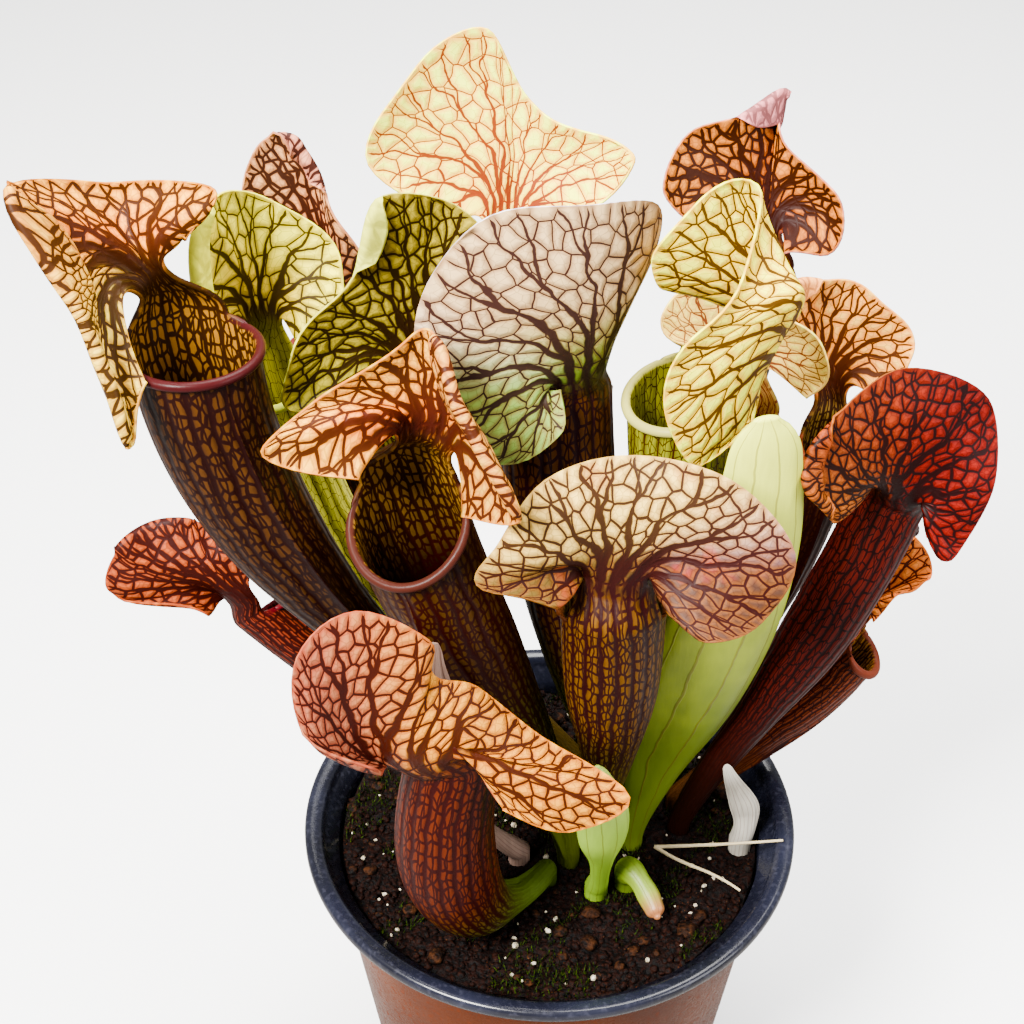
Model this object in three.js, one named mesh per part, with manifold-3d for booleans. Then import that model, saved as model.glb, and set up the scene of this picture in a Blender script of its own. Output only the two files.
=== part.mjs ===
// A trumpet pitcher plant (a Sarracenia hybrid) in a round plastic nursery pot.
// Millimetres, +Z up. The origin is the middle of the pot's foot, and the plant's best side faces -Y.
// Each pitcher is one leaf: a stalk that widens into a hollow tube with a rolled lip, and a veined hood
// that grows from the tube's back through a narrow neck.
import * as THREE from "three";
import { mergeVertices } from "three/addons/utils/BufferGeometryUtils.js";
import Module from "manifold-3d";

// Pot: a 13 cm vacuum-formed pot.
const RIM_RADIUS = 65;
const POT_HEIGHT = 100;
const WALL_RADIUS = 58;
const FOOT_RADIUS = 46;
const POT_WALL = 1.6;
const WALL_TOP = 93.5;
const DRAIN_RADIUS = 4;
const DRAIN_RING = 31;
const DRAINS = 6;

// Compost and crown.
const SOIL_TOP = 91;
const SOIL_BOTTOM = 2.3;
const SOIL_RELIEF = 1.2;
const STALK_DEPTH = 15;
const SOCKET_GAP = 0.4;

// Leaves.
const LEAF_THICKNESS = 1.0;
const STALK_RADIUS = 3;
const BACK_ARC = THREE.MathUtils.degToRad(62);
const LIP_ROLL = 1.3;

// Tube: root [x, y] in the compost, then the curve's low, high and mouth points; girth is the radius
// low, half-way, high and at the mouth. face is the way the mouth looks, 0 towards -Y and 90 towards +X,
// in degrees. brim is how much higher the mouth's back is than its front, and wing the keel on the tube's
// front.
// neck is the hood's foot [x, y, z, width]. edge is the hood's free edge, from left to right as seen by
// someone who looks into the mouth: each point is [x, y, z] from the neck, then how far the blade bows
// away from the mouth on its way there, and how far it first rises along the neck.
const PITCHERS = [
  {
    name: "pitcher_left_open", colour: 0xd9934f,
    root: [0, 3], curve: [[-26, -2, 150], [-72, -17, 195], [-77, -9, 249]],
    girth: [4.5, 7, 12, 14], face: 35, neck: [-86, -2, 265, 8], brim: 4, wing: 4,
    edge: [
      [1, -21, -12, 3], [-2, -31, -21, 6], [-10, -23, 4, 8], [-23, -12, 26, 4], [-8, 8, 18, 4],
      [16, -1, 21, 0], [9, -1, 10, 0],
    ],
  },
  {
    name: "pitcher_left_green", colour: 0xb3c23c,
    root: [6, 17], curve: [[-30, 14, 130], [-56, 14, 170], [-66, 20, 221]],
    girth: [5.5, 7.5, 9, 9], face: 15, neck: [-68, 28, 236, 8], brim: 6, wing: 3,
    edge: [
      [-7, -16, -3, 3], [-11, -18, 13, 4], [-9, -15, 36, 4], [2, 4, 30, 4], [18, 2, 17, 3],
      [19, -9, 5, 3], [10, -11, -4, 2],
    ],
  },
  {
    name: "pitcher_back_left", colour: 0xc28468, small: true,
    root: [8, 26], curve: [[-26, 34, 130], [-52, 44, 170], [-57, 44, 216]],
    girth: [3.5, 5, 7, 7], face: -20, neck: [-55, 50, 230, 7], brim: 5, wing: 2,
    edge: [
      [-6, -4, 6, 2], [-17, -2, 22, 3], [-15, 2, 37, 3], [-5, 6, 38, 3], [1, 2, 26, 3], [9, -4, 10, 2],
      [4, -4, 3, 1],
    ],
  },
  {
    name: "pitcher_centre_left", colour: 0x7d8436,
    root: [8, 9], curve: [[-10, 8, 130], [-34, 6, 170], [-36, 5, 212]],
    girth: [4, 6, 8.5, 9.5], face: -10, neck: [-33, 14, 229, 9], brim: 8, wing: 2,
    edge: [
      [-14, -12, 1, 2], [-26, -16, 3, 4], [-25, -12, 15, 5], [-12, -5, 29, 2], [-5, -1, 46, 3],
      [7, 7, 42, 4], [18, 6, 32, 3], [12, -4, 18, 2],
    ],
  },
  {
    name: "pitcher_centre_orange", colour: 0xe38a4e,
    root: [5, -9], curve: [[0, -6, 130], [-20, -12, 162], [-31, -20, 209]],
    girth: [5.5, 9, 12.5, 13.5], face: -15, neck: [-28, -18, 236, 12], brim: 13, wing: 5,
    edge: [
      [-14, -12, -3, 2], [-33, -15, 6, 3], [-20, -5, 13, 3], [-4, -2, 24, 3], [3, -3, 27, 2],
      [8, -14, 18, 5], [19, -25, -2, 4], [8, -13, -12, 2],
    ],
  },
  {
    name: "pitcher_back_tall", colour: 0xece2a0,
    root: [17, 27], curve: [[8, 40, 130], [-4, 54, 180], [-12, 48, 228]],
    girth: [4, 6, 9, 10], face: 5, neck: [-12, 56, 244, 10], brim: 8, wing: 2,
    edge: [
      [-14, -6, 5, 3], [-31, -6, 22, 6], [-21, 2, 40, 5], [-4, 8, 48, 5], [5, 6, 32, 5], [18, 0, 26, 6],
      [31, -6, 22, 5], [19, -8, 9, 4],
    ],
  },
  {
    name: "pitcher_centre_big", colour: 0xb7a25a,
    root: [16, 9], curve: [[12, 10, 130], [3, 6, 170], [0, 11, 220]],
    girth: [5.5, 10, 13, 13.5], face: 200, neck: [4, -1, 236, 19], brim: 9, wing: 3,
    edge: [
      [6, 8, 12, 2], [15, 15, 26, 3], [17, 10, 40, 5], [2, -3, 47, 6], [-18, -8, 47, 6],
      [-31, -10, 33, 6], [-34, -11, 15, 6], [-28, -13, -2, 6], [-15, -13, -11, 5], [-3, -11, -3, 4],
      [-4, -6, 4, 2],
    ],
  },
  {
    name: "pitcher_right_yellow", colour: 0xccd046,
    root: [26, 9], curve: [[30, 12, 130], [30, 10, 170], [28, 7, 227]],
    girth: [4, 6.5, 10, 12], face: -65, neck: [45, 8, 238, 9], brim: 5, wing: 2,
    edge: [
      [-12, 6, 15, 2, 8], [-23, -6, 23, 3, 14], [-25, -12, 34, 4, 20], [-15, -8, 46, 3, 24],
      [-4, -4, 44, 2, 30], [-7, -14, 28, 2, 44], [-19, -20, 16, 2, 34], [-22, -22, 0, 2, 20],
      [-14, -21, -14, 2, 10], [-2, -11, -9, 1, 3],
    ],
  },
  {
    name: "pitcher_right_pale", colour: 0xe6d8a8, small: true,
    root: [25, 18], curve: [[32, 24, 130], [38, 30, 160], [48, 25, 204]],
    girth: [3.5, 5, 7, 7], face: 10, neck: [47, 32, 216, 8], brim: 5, wing: 2,
    edge: [
      [-16, -4, 12, 2], [-22, 0, 19, 3], [-10, 3, 26, 3], [5, -3, 22, 3], [17, -9, 12, 3],
      [13, -10, 2, 2],
    ],
  },
  {
    name: "pitcher_back_right", colour: 0xc8622e,
    root: [28, 27], curve: [[34, 42, 130], [42, 54, 180], [50, 50, 230]],
    girth: [3.5, 5.5, 8, 8.5], face: -5, neck: [51, 56, 244, 8], brim: 6, wing: 2,
    edge: [
      [-14, -8, 5, 3], [-26, -8, 15, 5], [-19, 0, 25, 4], [-6, 4, 29, 3], [4, 12, 30, 2], [3, 3, 21, 3],
      [16, -7, 13, 5], [14, -12, 1, 5], [4, -9, -1, 2],
    ],
  },
  {
    name: "pitcher_right_orange", colour: 0xde8a44, small: true,
    root: [34, 19], curve: [[46, 26, 125], [62, 32, 150], [67, 27, 198]],
    girth: [3.5, 5, 7, 7.5], face: 15, neck: [67, 35, 210, 8], brim: 5, wing: 2,
    edge: [
      [-7, -5, 12, 2], [-13, -4, 28, 3], [-7, 3, 31, 3], [8, 4, 27, 3], [19, -2, 15, 4], [12, -7, 2, 3],
    ],
  },
  {
    name: "pitcher_right_red", colour: 0xa04534,
    root: [35, 2], curve: [[42, 0, 122], [62, 2, 145], [78, 12, 186]],
    girth: [4, 5.5, 8.5, 9], face: 165, neck: [80, 3, 201, 14], brim: 7, wing: 2,
    edge: [
      [6, -7, -4, 3], [12, -11, -7, 5], [20, -3, 7, 5], [19, 6, 25, 4], [-3, 1, 37, 6],
      [-22, -9, 27, 6], [-25, -16, 16, 6], [-17, -16, 8, 4],
    ],
  },
  {
    name: "pitcher_right_low", colour: 0xc8743f, small: true,
    root: [35, 11], curve: [[46, 14, 104], [66, 22, 112], [80, 20, 138]],
    girth: [3.5, 4.5, 6, 6.5], face: 60, neck: [82, 26, 146, 6], brim: 4, wing: 1.5,
    edge: [
      [2, -4, 2, 1], [8, -2, 10, 2], [16, 0, 14, 2], [11, 4, 24, 3], [1, 4, 20, 3], [-3, 2, 8, 2],
    ],
  },
  {
    name: "pitcher_front_centre", colour: 0xd9b7a4,
    root: [14, -5], curve: [[14, -14, 122], [14, -18, 156], [13, -23, 187]],
    girth: [3, 7, 11, 12], face: 180, neck: [13, -32, 203, 17], brim: 8, wing: 2,
    edge: [
      [12, -9, 2, 3], [19, -14, -1, 6], [31, -9, 1, 7], [37, 0, 12, 6], [24, 5, 27, 6], [2, 9, 31, 6],
      [-16, 3, 29, 6], [-26, -4, 17, 6], [-30, -7, 9, 4], [-13, -7, 3, 3],
    ],
  },
  {
    name: "pitcher_front_low", colour: 0xd98a4c,
    root: [-1, -15], curve: [[-12, -34, 93], [-32, -42, 108], [-24, -40, 156]],
    girth: [4, 9.5, 12, 11], face: 175, neck: [-27, -51, 167, 23], brim: 7, wing: 2,
    edge: [
      [15, -7, -3, 3], [30, -7, -11, 4], [43, -1, -6, 3], [24, 7, 5, 5], [9, 8, 19, 6], [1, 4, 26, 5],
      [-1, 4, 37, 5], [-15, 2, 46, 5], [-27, -6, 41, 6], [-26, -10, 23, 6], [-12, -8, 9, 3],
    ],
  },
  {
    name: "pitcher_far_left", colour: 0xdc9163, small: true,
    root: [-3, 12], curve: [[-18, 10, 106], [-45, 6, 134], [-70, 9, 160]],
    girth: [3.5, 4.5, 6, 6.5], face: 150, neck: [-77, 4, 169, 9], brim: 4, wing: 1.5,
    edge: [
      [4, 1, 11, 1], [-5, 5, 20, 3], [-18, 4, 22, 4], [-27, -2, 18, 3], [-28, -6, 9, 3], [-6, -6, 3, 2],
    ],
  },
];

// Young, spent and dry shoots, without a mouth. size is half the width, from low to the tip; flat is the
// section's depth to its width.
const SHOOTS = [
  {
    name: "young_leaf_green", colour: 0x9cb653,
    root: [22, -3], curve: [[22, -2, 130], [50, -6, 170], [44.5, -14, 237]],
    face: 8, flat: 0.36, size: [8, 13.5, 14.5, 12, 7.5], sections: 12, rows: 9,
  },
  {
    name: "young_leaf_small", colour: 0xa9c060,
    root: [12, -20], curve: [[13, -28, 108], [13, -33, 130], [10, -34, 152]],
    face: 20, flat: 0.7, size: [2.6, 3.6, 6.5, 6, 2], sections: 8, rows: 8,
  },
  {
    name: "spent_stalk", colour: 0x8e9a52,
    root: [20, -17], curve: [[19, -21, 105], [24, -23, 99], [27, -32, 96]],
    face: 0, flat: 0.9, size: [3.6, 3.4, 2.8, 3.0, 2.4], sections: 8, rows: 6,
  },
  {
    name: "dry_leaf_front", colour: 0xb8a49a, dry: true,
    root: [-8, -8], curve: [[-24, -20, 118], [-38, -26, 158], [-27, -35, 192]],
    face: 10, flat: 0.14, size: [2.5, 3, 5, 7, 2], sections: 8, rows: 7,
  },
  {
    name: "dry_leaf_right", colour: 0xc4bfb4, dry: true,
    root: [51, -4], curve: [[54, -5, 108], [48, -5, 112], [45, -6, 124]],
    face: 0, flat: 0.25, size: [3, 3.5, 3, 2, 1], sections: 8, rows: 5,
  },
];

const rad = THREE.MathUtils.degToRad;
const smooth = (x) => THREE.MathUtils.smoothstep(x, 0, 1);
const vector = (p) => new THREE.Vector3(p[0], p[1], p[2]);

// A smooth value between evenly spaced keys, at u from 0 to 1.
function between(keys, u) {
  const x = Math.min(Math.max(u, 0), 1) * (keys.length - 1);
  const i = Math.min(Math.floor(x), keys.length - 2);
  const key = (n) => keys[Math.min(Math.max(n, 0), keys.length - 1)];
  const f = x - i;
  const [a, b, c, d] = [key(i - 1), key(i), key(i + 1), key(i + 2)];
  return b + 0.5 * f * (c - a + f * (2 * a - 5 * b + 4 * c - d + f * (3 * (b - c) + d - a)));
}

// A solid from its corners and faces.
function solid(vertices, triangles) {
  const made = new THREE.BufferGeometry();
  made.setAttribute("position", new THREE.Float32BufferAttribute(vertices.flatMap((v) => v.toArray()), 3));
  made.setIndex(triangles.flat());
  return made;
}

// A leaf's stalk is upright in the compost; its curve starts just above.
class Tube {
  constructor({ root, curve, face, girth }) {
    const [x, y] = root;
    this.foot = new THREE.Vector3(x, y, SOIL_TOP - STALK_DEPTH);
    const collar = new THREE.Vector3(x, y, SOIL_TOP + 3);
    this.axis = new THREE.CubicBezierCurve3(collar, ...curve.map(vector));
    this.girth = [STALK_RADIUS, ...girth];
    this.facing = new THREE.Vector3(Math.sin(rad(face)), -Math.cos(rad(face)), 0);
  }

  // The tube's own directions at t: along it, to its front and to its right, without twist from the mouth.
  directions(t) {
    const upright = new THREE.Vector3(0, 0, 1);
    const steps = 24;
    let along = this.axis.getTangent(1);
    const front = this.facing.clone();
    const level = () => front.addScaledVector(along, -front.dot(along)).normalize();
    level();
    for (let i = 1; i <= steps && t < 1; i++) {
      along = this.axis.getTangent(1 + ((Math.max(t, 0) - 1) * i) / steps);
      level();
    }
    if (t <= 0) {
      along = t < 0 ? upright : along.add(upright).normalize();
      level();
    }
    return { along, front, right: along.clone().cross(front) };
  }

  centre(t) {
    return t < 0 ? this.foot.clone() : this.axis.getPoint(t);
  }
}

class Pitcher extends Tube {
  constructor(size) {
    super(size);
    this.brim = size.brim;
    this.wing = size.wing;
    this.small = size.small;
    this.width = size.neck[3];
    this.foothold = vector(size.neck);
    this.edge = size.edge;
    const { along, front, right } = this.directions(1);
    this.mouth = { along, front, right };
    const back = this.rim(1.5 * Math.PI, 1);
    const crest = vector(this.edge.reduce((a, b) => (a[2] > b[2] ? a : b)));
    this.up = this.foothold.clone().sub(back).normalize().add(crest.normalize()).normalize();
    this.across = right.clone().addScaledVector(this.up, -right.dot(this.up)).normalize();
    this.over = this.across.clone().cross(this.up);
  }

  // A point of the tube's wall. angle 90 degrees is the front and 270 the back.
  wall(t, angle) {
    const { along, front, right } = this.directions(t);
    const r = between(this.girth, t) - LEAF_THICKNESS / 2;
    const lift = (this.brim * (1 - Math.sin(angle)) * smooth((t - 0.7) / 0.3)) / 2;
    return this.centre(t)
      .addScaledVector(right, r * Math.cos(angle))
      .addScaledVector(front, r * Math.sin(angle))
      .addScaledVector(along, lift);
  }

  // The rim past the tube's end: rolled out in front, and straight up behind. roll runs from 0 to 1.
  rim(angle, roll) {
    const { along, front, right } = this.mouth;
    const out = right.clone().multiplyScalar(Math.cos(angle)).addScaledVector(front, Math.sin(angle));
    const fromBack = Math.abs(THREE.MathUtils.euclideanModulo(angle - Math.PI / 2, 2 * Math.PI) - Math.PI);
    const share = smooth((fromBack - BACK_ARC) / rad(45));
    const turn = roll * rad(190);
    return this.wall(1, angle)
      .addScaledVector(out, share * LIP_ROLL * (1 - Math.cos(turn)))
      .addScaledVector(along, share * LIP_ROLL * Math.sin(turn) + (1 - share) * roll * 2);
  }

  // The neck's top, across u from -1 at its left to 1 at its right.
  neckTop(u) {
    return this.foothold
      .clone()
      .addScaledVector(this.across, (this.width / 2) * Math.sin(rad(75) * u))
      .addScaledVector(this.over, (this.width / 2.5) * (1 - Math.cos(rad(75) * u)));
  }

  // A point of the neck, v from 0 at the mouth to 1 at the hood.
  neckWall(u, v) {
    const low = this.rim(1.5 * Math.PI + BACK_ARC * u, 1);
    const top = this.neckTop(u);
    const reach = low.distanceTo(top) / 3;
    const a = low.clone().addScaledVector(this.mouth.along, reach);
    const b = top.clone().addScaledVector(this.up, -reach);
    return new THREE.CubicBezierCurve3(low, a, b, top).getPoint(v);
  }

  // The blade's curve from the neck to the free edge, across u from -1 to 1.
  rib(u) {
    const at = (k, otherwise) => between(this.edge.map((e) => e[k] ?? otherwise(e)), (u + 1) / 2);
    const start = this.neckTop(u);
    const tip = this.foothold.clone().add(new THREE.Vector3(at(0), at(1), at(2)));
    const chord = tip.clone().sub(start);
    const bow = this.over.clone();
    bow.addScaledVector(chord, -bow.dot(chord) / chord.lengthSq()).normalize();
    bow.multiplyScalar(-at(3));
    const rise = at(4, (e) => 0.45 * Math.hypot(e[0], e[1], e[2]));
    const a = start.clone().addScaledVector(this.up, rise).addScaledVector(bow, 0.6);
    const b = tip.clone().addScaledVector(chord, -0.35).add(bow);
    return new THREE.CubicBezierCurve3(start, a, b, tip);
  }

  // The leaf as one closed solid.
  geometry() {
    const [back, front, neckRows, hoodRows] = this.small ? [8, 6, 2, 4] : [10, 6, 2, 5];
    const stations = [-1, 0, 0.16, 0.34, 0.52, 0.7, 0.86, 1];
    const around = back + front;
    const angles = [];
    for (let j = 0; j < back; j++) angles.push(1.5 * Math.PI + BACK_ARC * ((2 * j) / back - 1));
    for (let j = 0; j < front; j++)
      angles.push(1.5 * Math.PI + BACK_ARC + ((2 * Math.PI - 2 * BACK_ARC) * j) / front);
    const middle = [];
    const add = (p) => middle.push(p) - 1;
    const grid = stations.map((t) => angles.map((a) => add(this.wall(t, a))));
    for (const roll of [0.5, 1]) grid.push(angles.map((a) => add(this.rim(a, roll))));
    const top = grid[grid.length - 1];
    const columns = Array.from({ length: back + 1 }, (_, j) => (2 * j) / back - 1);
    const hood = [top.slice(0, back + 1)];
    for (let k = 1; k <= neckRows; k++) hood.push(columns.map((u) => add(this.neckWall(u, k / neckRows))));
    const ribs = columns.map((u) => this.rib(u));
    for (let k = 1; k <= hoodRows; k++) hood.push(ribs.map((r) => add(r.getPoint(k / hoodRows))));

    // Faces of the middle surface, seen from outside; the same split serves both skins.
    const faces = [];
    const quad = (a, b, c, d) => faces.push([a, c, b], [a, d, c]);
    const hollowFrom = 3;
    let firstHollow = 0;
    for (let i = 0; i + 1 < grid.length; i++) {
      if (i === hollowFrom) firstHollow = faces.length;
      for (let j = 0; j < around; j++) {
        const n = (j + 1) % around;
        quad(grid[i][j], grid[i][n], grid[i + 1][n], grid[i + 1][j]);
      }
    }
    for (let k = 0; k + 1 < hood.length; k++)
      for (let j = 0; j < back; j++) quad(hood[k][j], hood[k][j + 1], hood[k + 1][j + 1], hood[k + 1][j]);

    const normals = middle.map(() => new THREE.Vector3());
    const [p, q] = [new THREE.Vector3(), new THREE.Vector3()];
    for (const [a, b, c] of faces) {
      p.subVectors(middle[b], middle[a]).cross(q.subVectors(middle[c], middle[a]));
      for (const n of [a, b, c]) normals[n].add(p);
    }
    const half = LEAF_THICKNESS / 2;
    const outer = middle.map((m, n) => m.clone().addScaledVector(normals[n].normalize(), half));
    const inner = middle.map((m, n) => m.clone().addScaledVector(normals[n], -half));

    // The thin keel down the tube's front.
    stations.forEach((t, i) => {
      const keel = this.wing * Math.sin(Math.PI * Math.min(Math.max(t, 0) / 0.95, 1)) ** 0.7;
      outer[grid[i][back + front / 2]].addScaledVector(this.directions(t).front, keel);
    });

    const count = middle.length;
    const vertices = [...outer, ...inner];
    const triangles = [];
    faces.forEach(([a, b, c], n) => {
      triangles.push([a, b, c]);
      if (n >= firstHollow) triangles.push([a + count, c + count, b + count]);
    });
    const cap = (ring, centre, outward) => {
      const c = vertices.push(centre) - 1;
      ring.forEach((a, j) => {
        const b = ring[(j + 1) % ring.length];
        triangles.push(outward ? [a, b, c] : [b, a, c]);
      });
    };
    cap(grid[0], this.foot.clone(), true);
    cap(grid[hollowFrom].map((a) => a + count), this.centre(stations[hollowFrom]), false);
    // The leaf's free edge: round the lip, up the hood's left side, over it and down its right.
    const edge = [...top.slice(back), top[0], ...hood.slice(1).map((r) => r[0])];
    edge.push(...hood[hood.length - 1].slice(1), ...hood.slice(1, -1).reverse().map((r) => r[back]));
    edge.forEach((a, j) => {
      const b = edge[(j + 1) % edge.length];
      triangles.push([b, a, b + count], [b + count, a, a + count]);
    });
    return solid(vertices, triangles);
  }
}

// A solid shoot with oval sections, closed at its tip.
class Shoot extends Tube {
  constructor(size) {
    super({ ...size, girth: size.size });
    this.flat = size.flat;
    this.sections = size.sections;
    this.rows = size.rows;
  }

  geometry() {
    const vertices = [];
    const add = (p) => vertices.push(p) - 1;
    const stations = [-1, ...Array.from({ length: this.rows + 1 }, (_, i) => i / this.rows)];
    const rings = stations.map((t) => {
      const { front, right } = this.directions(t);
      const r = between(this.girth, t);
      const flat = t < 0 ? 1 : 1 + (this.flat - 1) * smooth(t / 0.3);
      return Array.from({ length: this.sections }, (_, j) => {
        const angle = (2 * Math.PI * (j + 0.5)) / this.sections;
        return add(
          this.centre(t)
            .addScaledVector(right, r * Math.cos(angle))
            .addScaledVector(front, r * flat * Math.sin(angle)),
        );
      });
    });
    const triangles = [];
    for (let i = 0; i + 1 < rings.length; i++)
      for (let j = 0; j < this.sections; j++) {
        const n = (j + 1) % this.sections;
        const [a, b, c, d] = [rings[i][j], rings[i][n], rings[i + 1][n], rings[i + 1][j]];
        triangles.push([a, c, b], [a, d, c]);
      }
    const point = this.girth[this.girth.length - 1] * this.flat;
    const low = add(this.foot.clone());
    const high = add(this.centre(1).addScaledVector(this.directions(1).along, point));
    for (let j = 0; j < this.sections; j++) {
      const n = (j + 1) % this.sections;
      const end = rings[this.rows + 1];
      triangles.push([rings[0][j], rings[0][n], low], [end[n], end[j], high]);
    }
    return solid(vertices, triangles);
  }
}

const kernel = await Module();
kernel.setup();

function toManifold(geometry) {
  const bare = new THREE.BufferGeometry();
  bare.setAttribute("position", geometry.getAttribute("position").clone());
  if (geometry.index) bare.setIndex(geometry.index.clone());
  const merged = mergeVertices(bare, 1e-3);
  return new kernel.Manifold(
    new kernel.Mesh({
      numProp: 3,
      vertProperties: merged.attributes.position.array,
      triVerts: new Uint32Array(merged.index.array),
    }),
  );
}

function toGeometry(shape) {
  const mesh = shape.getMesh();
  const made = new THREE.BufferGeometry();
  made.setAttribute("position", new THREE.BufferAttribute(new Float32Array(mesh.vertProperties), 3));
  made.setIndex(new THREE.BufferAttribute(new Uint32Array(mesh.triVerts), 1));
  return made;
}

// A solid turned about Z from a profile of [radius, height] points that starts and ends on the axis.
function turned(profile, segments) {
  const points = profile.map(([r, z]) => new THREE.Vector2(r, z));
  return toManifold(new THREE.LatheGeometry(points, segments).rotateX(Math.PI / 2));
}

// An upright cylinder on the middle of its foot.
function cylinder(radius, height, sides, [x, y, z]) {
  const made = new THREE.CylinderGeometry(radius, radius, height, sides).rotateX(Math.PI / 2);
  return toManifold(made.translate(x, y, z + height / 2));
}

// The pot: a thin tapered wall under a rolled rim that hangs over it, and holes in its floor.
function pot() {
  const inner = RIM_RADIUS - 4;
  const profile = [
    [0, 0],
    [FOOT_RADIUS, 0],
    [WALL_RADIUS, WALL_TOP],
    [inner, WALL_TOP + 2.2],
    [RIM_RADIUS - 1, POT_HEIGHT - 3.6],
    [RIM_RADIUS, POT_HEIGHT - 2.7],
    [RIM_RADIUS, POT_HEIGHT - 0.9],
    [RIM_RADIUS - 0.8, POT_HEIGHT],
    [inner, POT_HEIGHT],
    [inner - 0.7, POT_HEIGHT - 0.7],
    [inner - POT_WALL, WALL_TOP + 2.8],
    [WALL_RADIUS - POT_WALL, WALL_TOP + 0.6],
    [FOOT_RADIUS - POT_WALL, 2],
    [0, 2],
  ];
  let shape = turned(profile, 64);
  for (let i = 0; i < DRAINS; i++) {
    const angle = (2 * Math.PI * (i + 0.5)) / DRAINS;
    const at = [DRAIN_RING * Math.cos(angle), DRAIN_RING * Math.sin(angle), -1];
    shape = shape.subtract(cylinder(DRAIN_RADIUS, 4, 16, at));
  }
  return toGeometry(shape);
}

// The compost fills the pot. Its top is uneven, and each stalk stands in a plain hole.
function compost() {
  const at = (z) => FOOT_RADIUS + ((WALL_RADIUS - FOOT_RADIUS) * z) / WALL_TOP - POT_WALL - 0.35;
  const relief = (x, y) =>
    SOIL_TOP +
    (SOIL_RELIEF / 2) * (Math.sin(0.21 * x + 1.3) * Math.cos(0.17 * y) + Math.sin(0.33 * y - 0.11 * x));
  const [rows, segments] = [6, 40];
  const vertices = [];
  const add = (x, y, z) => vertices.push(new THREE.Vector3(x, y, z)) - 1;
  const centre = add(0, 0, relief(0, 0));
  const ring = (r, height) =>
    Array.from({ length: segments }, (_, j) => {
      const angle = (2 * Math.PI * j) / segments;
      const [x, y] = [r * Math.cos(angle), r * Math.sin(angle)];
      return add(x, y, height(x, y));
    });
  const rings = Array.from({ length: rows }, (_, i) => ring((at(SOIL_TOP - 2) * (i + 1)) / rows, relief));
  const floor = ring(at(SOIL_BOTTOM), () => SOIL_BOTTOM);
  const low = add(0, 0, SOIL_BOTTOM);
  const triangles = [];
  for (let j = 0; j < segments; j++) {
    const n = (j + 1) % segments;
    triangles.push([centre, rings[0][j], rings[0][n]], [low, floor[n], floor[j]]);
    for (let i = 0; i + 1 < rows; i++) {
      const [a, b, c, d] = [rings[i][j], rings[i + 1][j], rings[i + 1][n], rings[i][n]];
      triangles.push([a, b, c], [a, c, d]);
    }
    const edge = rings[rows - 1];
    triangles.push([edge[j], floor[j], floor[n]], [edge[j], floor[n], edge[n]]);
  }
  let shape = toManifold(solid(vertices, triangles));
  for (const { root } of [...PITCHERS, ...SHOOTS]) {
    const at = [root[0], root[1], SOIL_TOP - STALK_DEPTH - 0.4];
    shape = shape.subtract(cylinder(STALK_RADIUS + SOCKET_GAP, STALK_DEPTH + 10, 12, at));
  }
  return toGeometry(shape);
}

// Two dry stems that share a foot and lie across the compost, one with its end on the rim.
const STEM_FOOT = [28, -7, 94];
const STEM_ENDS = [[61, -11, 101], [49, -23, 95.3]];
const STEM_RADIUS = 0.5;
function dryStems() {
  const foot = vector(STEM_FOOT);
  let shape = toManifold(new THREE.SphereGeometry(STEM_RADIUS * 1.6, 8, 6).translate(...STEM_FOOT));
  for (const end of STEM_ENDS) {
    const way = vector(end).sub(foot);
    const turn = new THREE.Quaternion();
    turn.setFromUnitVectors(new THREE.Vector3(0, 1, 0), way.clone().normalize());
    const stem = new THREE.CylinderGeometry(STEM_RADIUS * 0.8, STEM_RADIUS, way.length(), 6);
    stem.translate(0, way.length() / 2, 0).applyQuaternion(turn).translate(...STEM_FOOT);
    shape = shape.add(toManifold(stem));
  }
  return toGeometry(shape);
}

const MATERIALS = {
  plastic: { color: 0xa5502c, roughness: 0.32, metalness: 0 },
  compost: { color: 0x2b211b, roughness: 0.95, metalness: 0 },
  straw: { color: 0xb9ac96, roughness: 0.8, metalness: 0 },
};
const LEAF = { roughness: 0.42, metalness: 0 };
const DRY = { roughness: 0.75, metalness: 0 };

const plant = new THREE.Group();
function place(name, geometry, look) {
  const mesh = new THREE.Mesh(geometry, new THREE.MeshStandardMaterial(look));
  mesh.name = name;
  plant.add(mesh);
}
place("pot", pot(), MATERIALS.plastic);
place("compost", compost(), MATERIALS.compost);
for (const size of PITCHERS)
  place(size.name, new Pitcher(size).geometry(), { color: size.colour, ...LEAF });
for (const size of SHOOTS)
  place(size.name, new Shoot(size).geometry(), { color: size.colour, ...(size.dry ? DRY : LEAF) });
place("dry_stems", dryStems(), MATERIALS.straw);

export default plant;
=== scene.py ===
"""A trumpet pitcher plant (a Sarracenia hybrid) in a round plastic nursery pot.

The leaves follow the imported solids: each pitcher is a tube with a rolled lip and a veined hood, built
here as one fine double-skinned surface. The compost keeps its solid and gets a crust, grit and moss.
Lengths are in millimetres until a mesh is made, which is in metres.
"""

import logging
import math
from dataclasses import dataclass, field, fields
from enum import Enum

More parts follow.
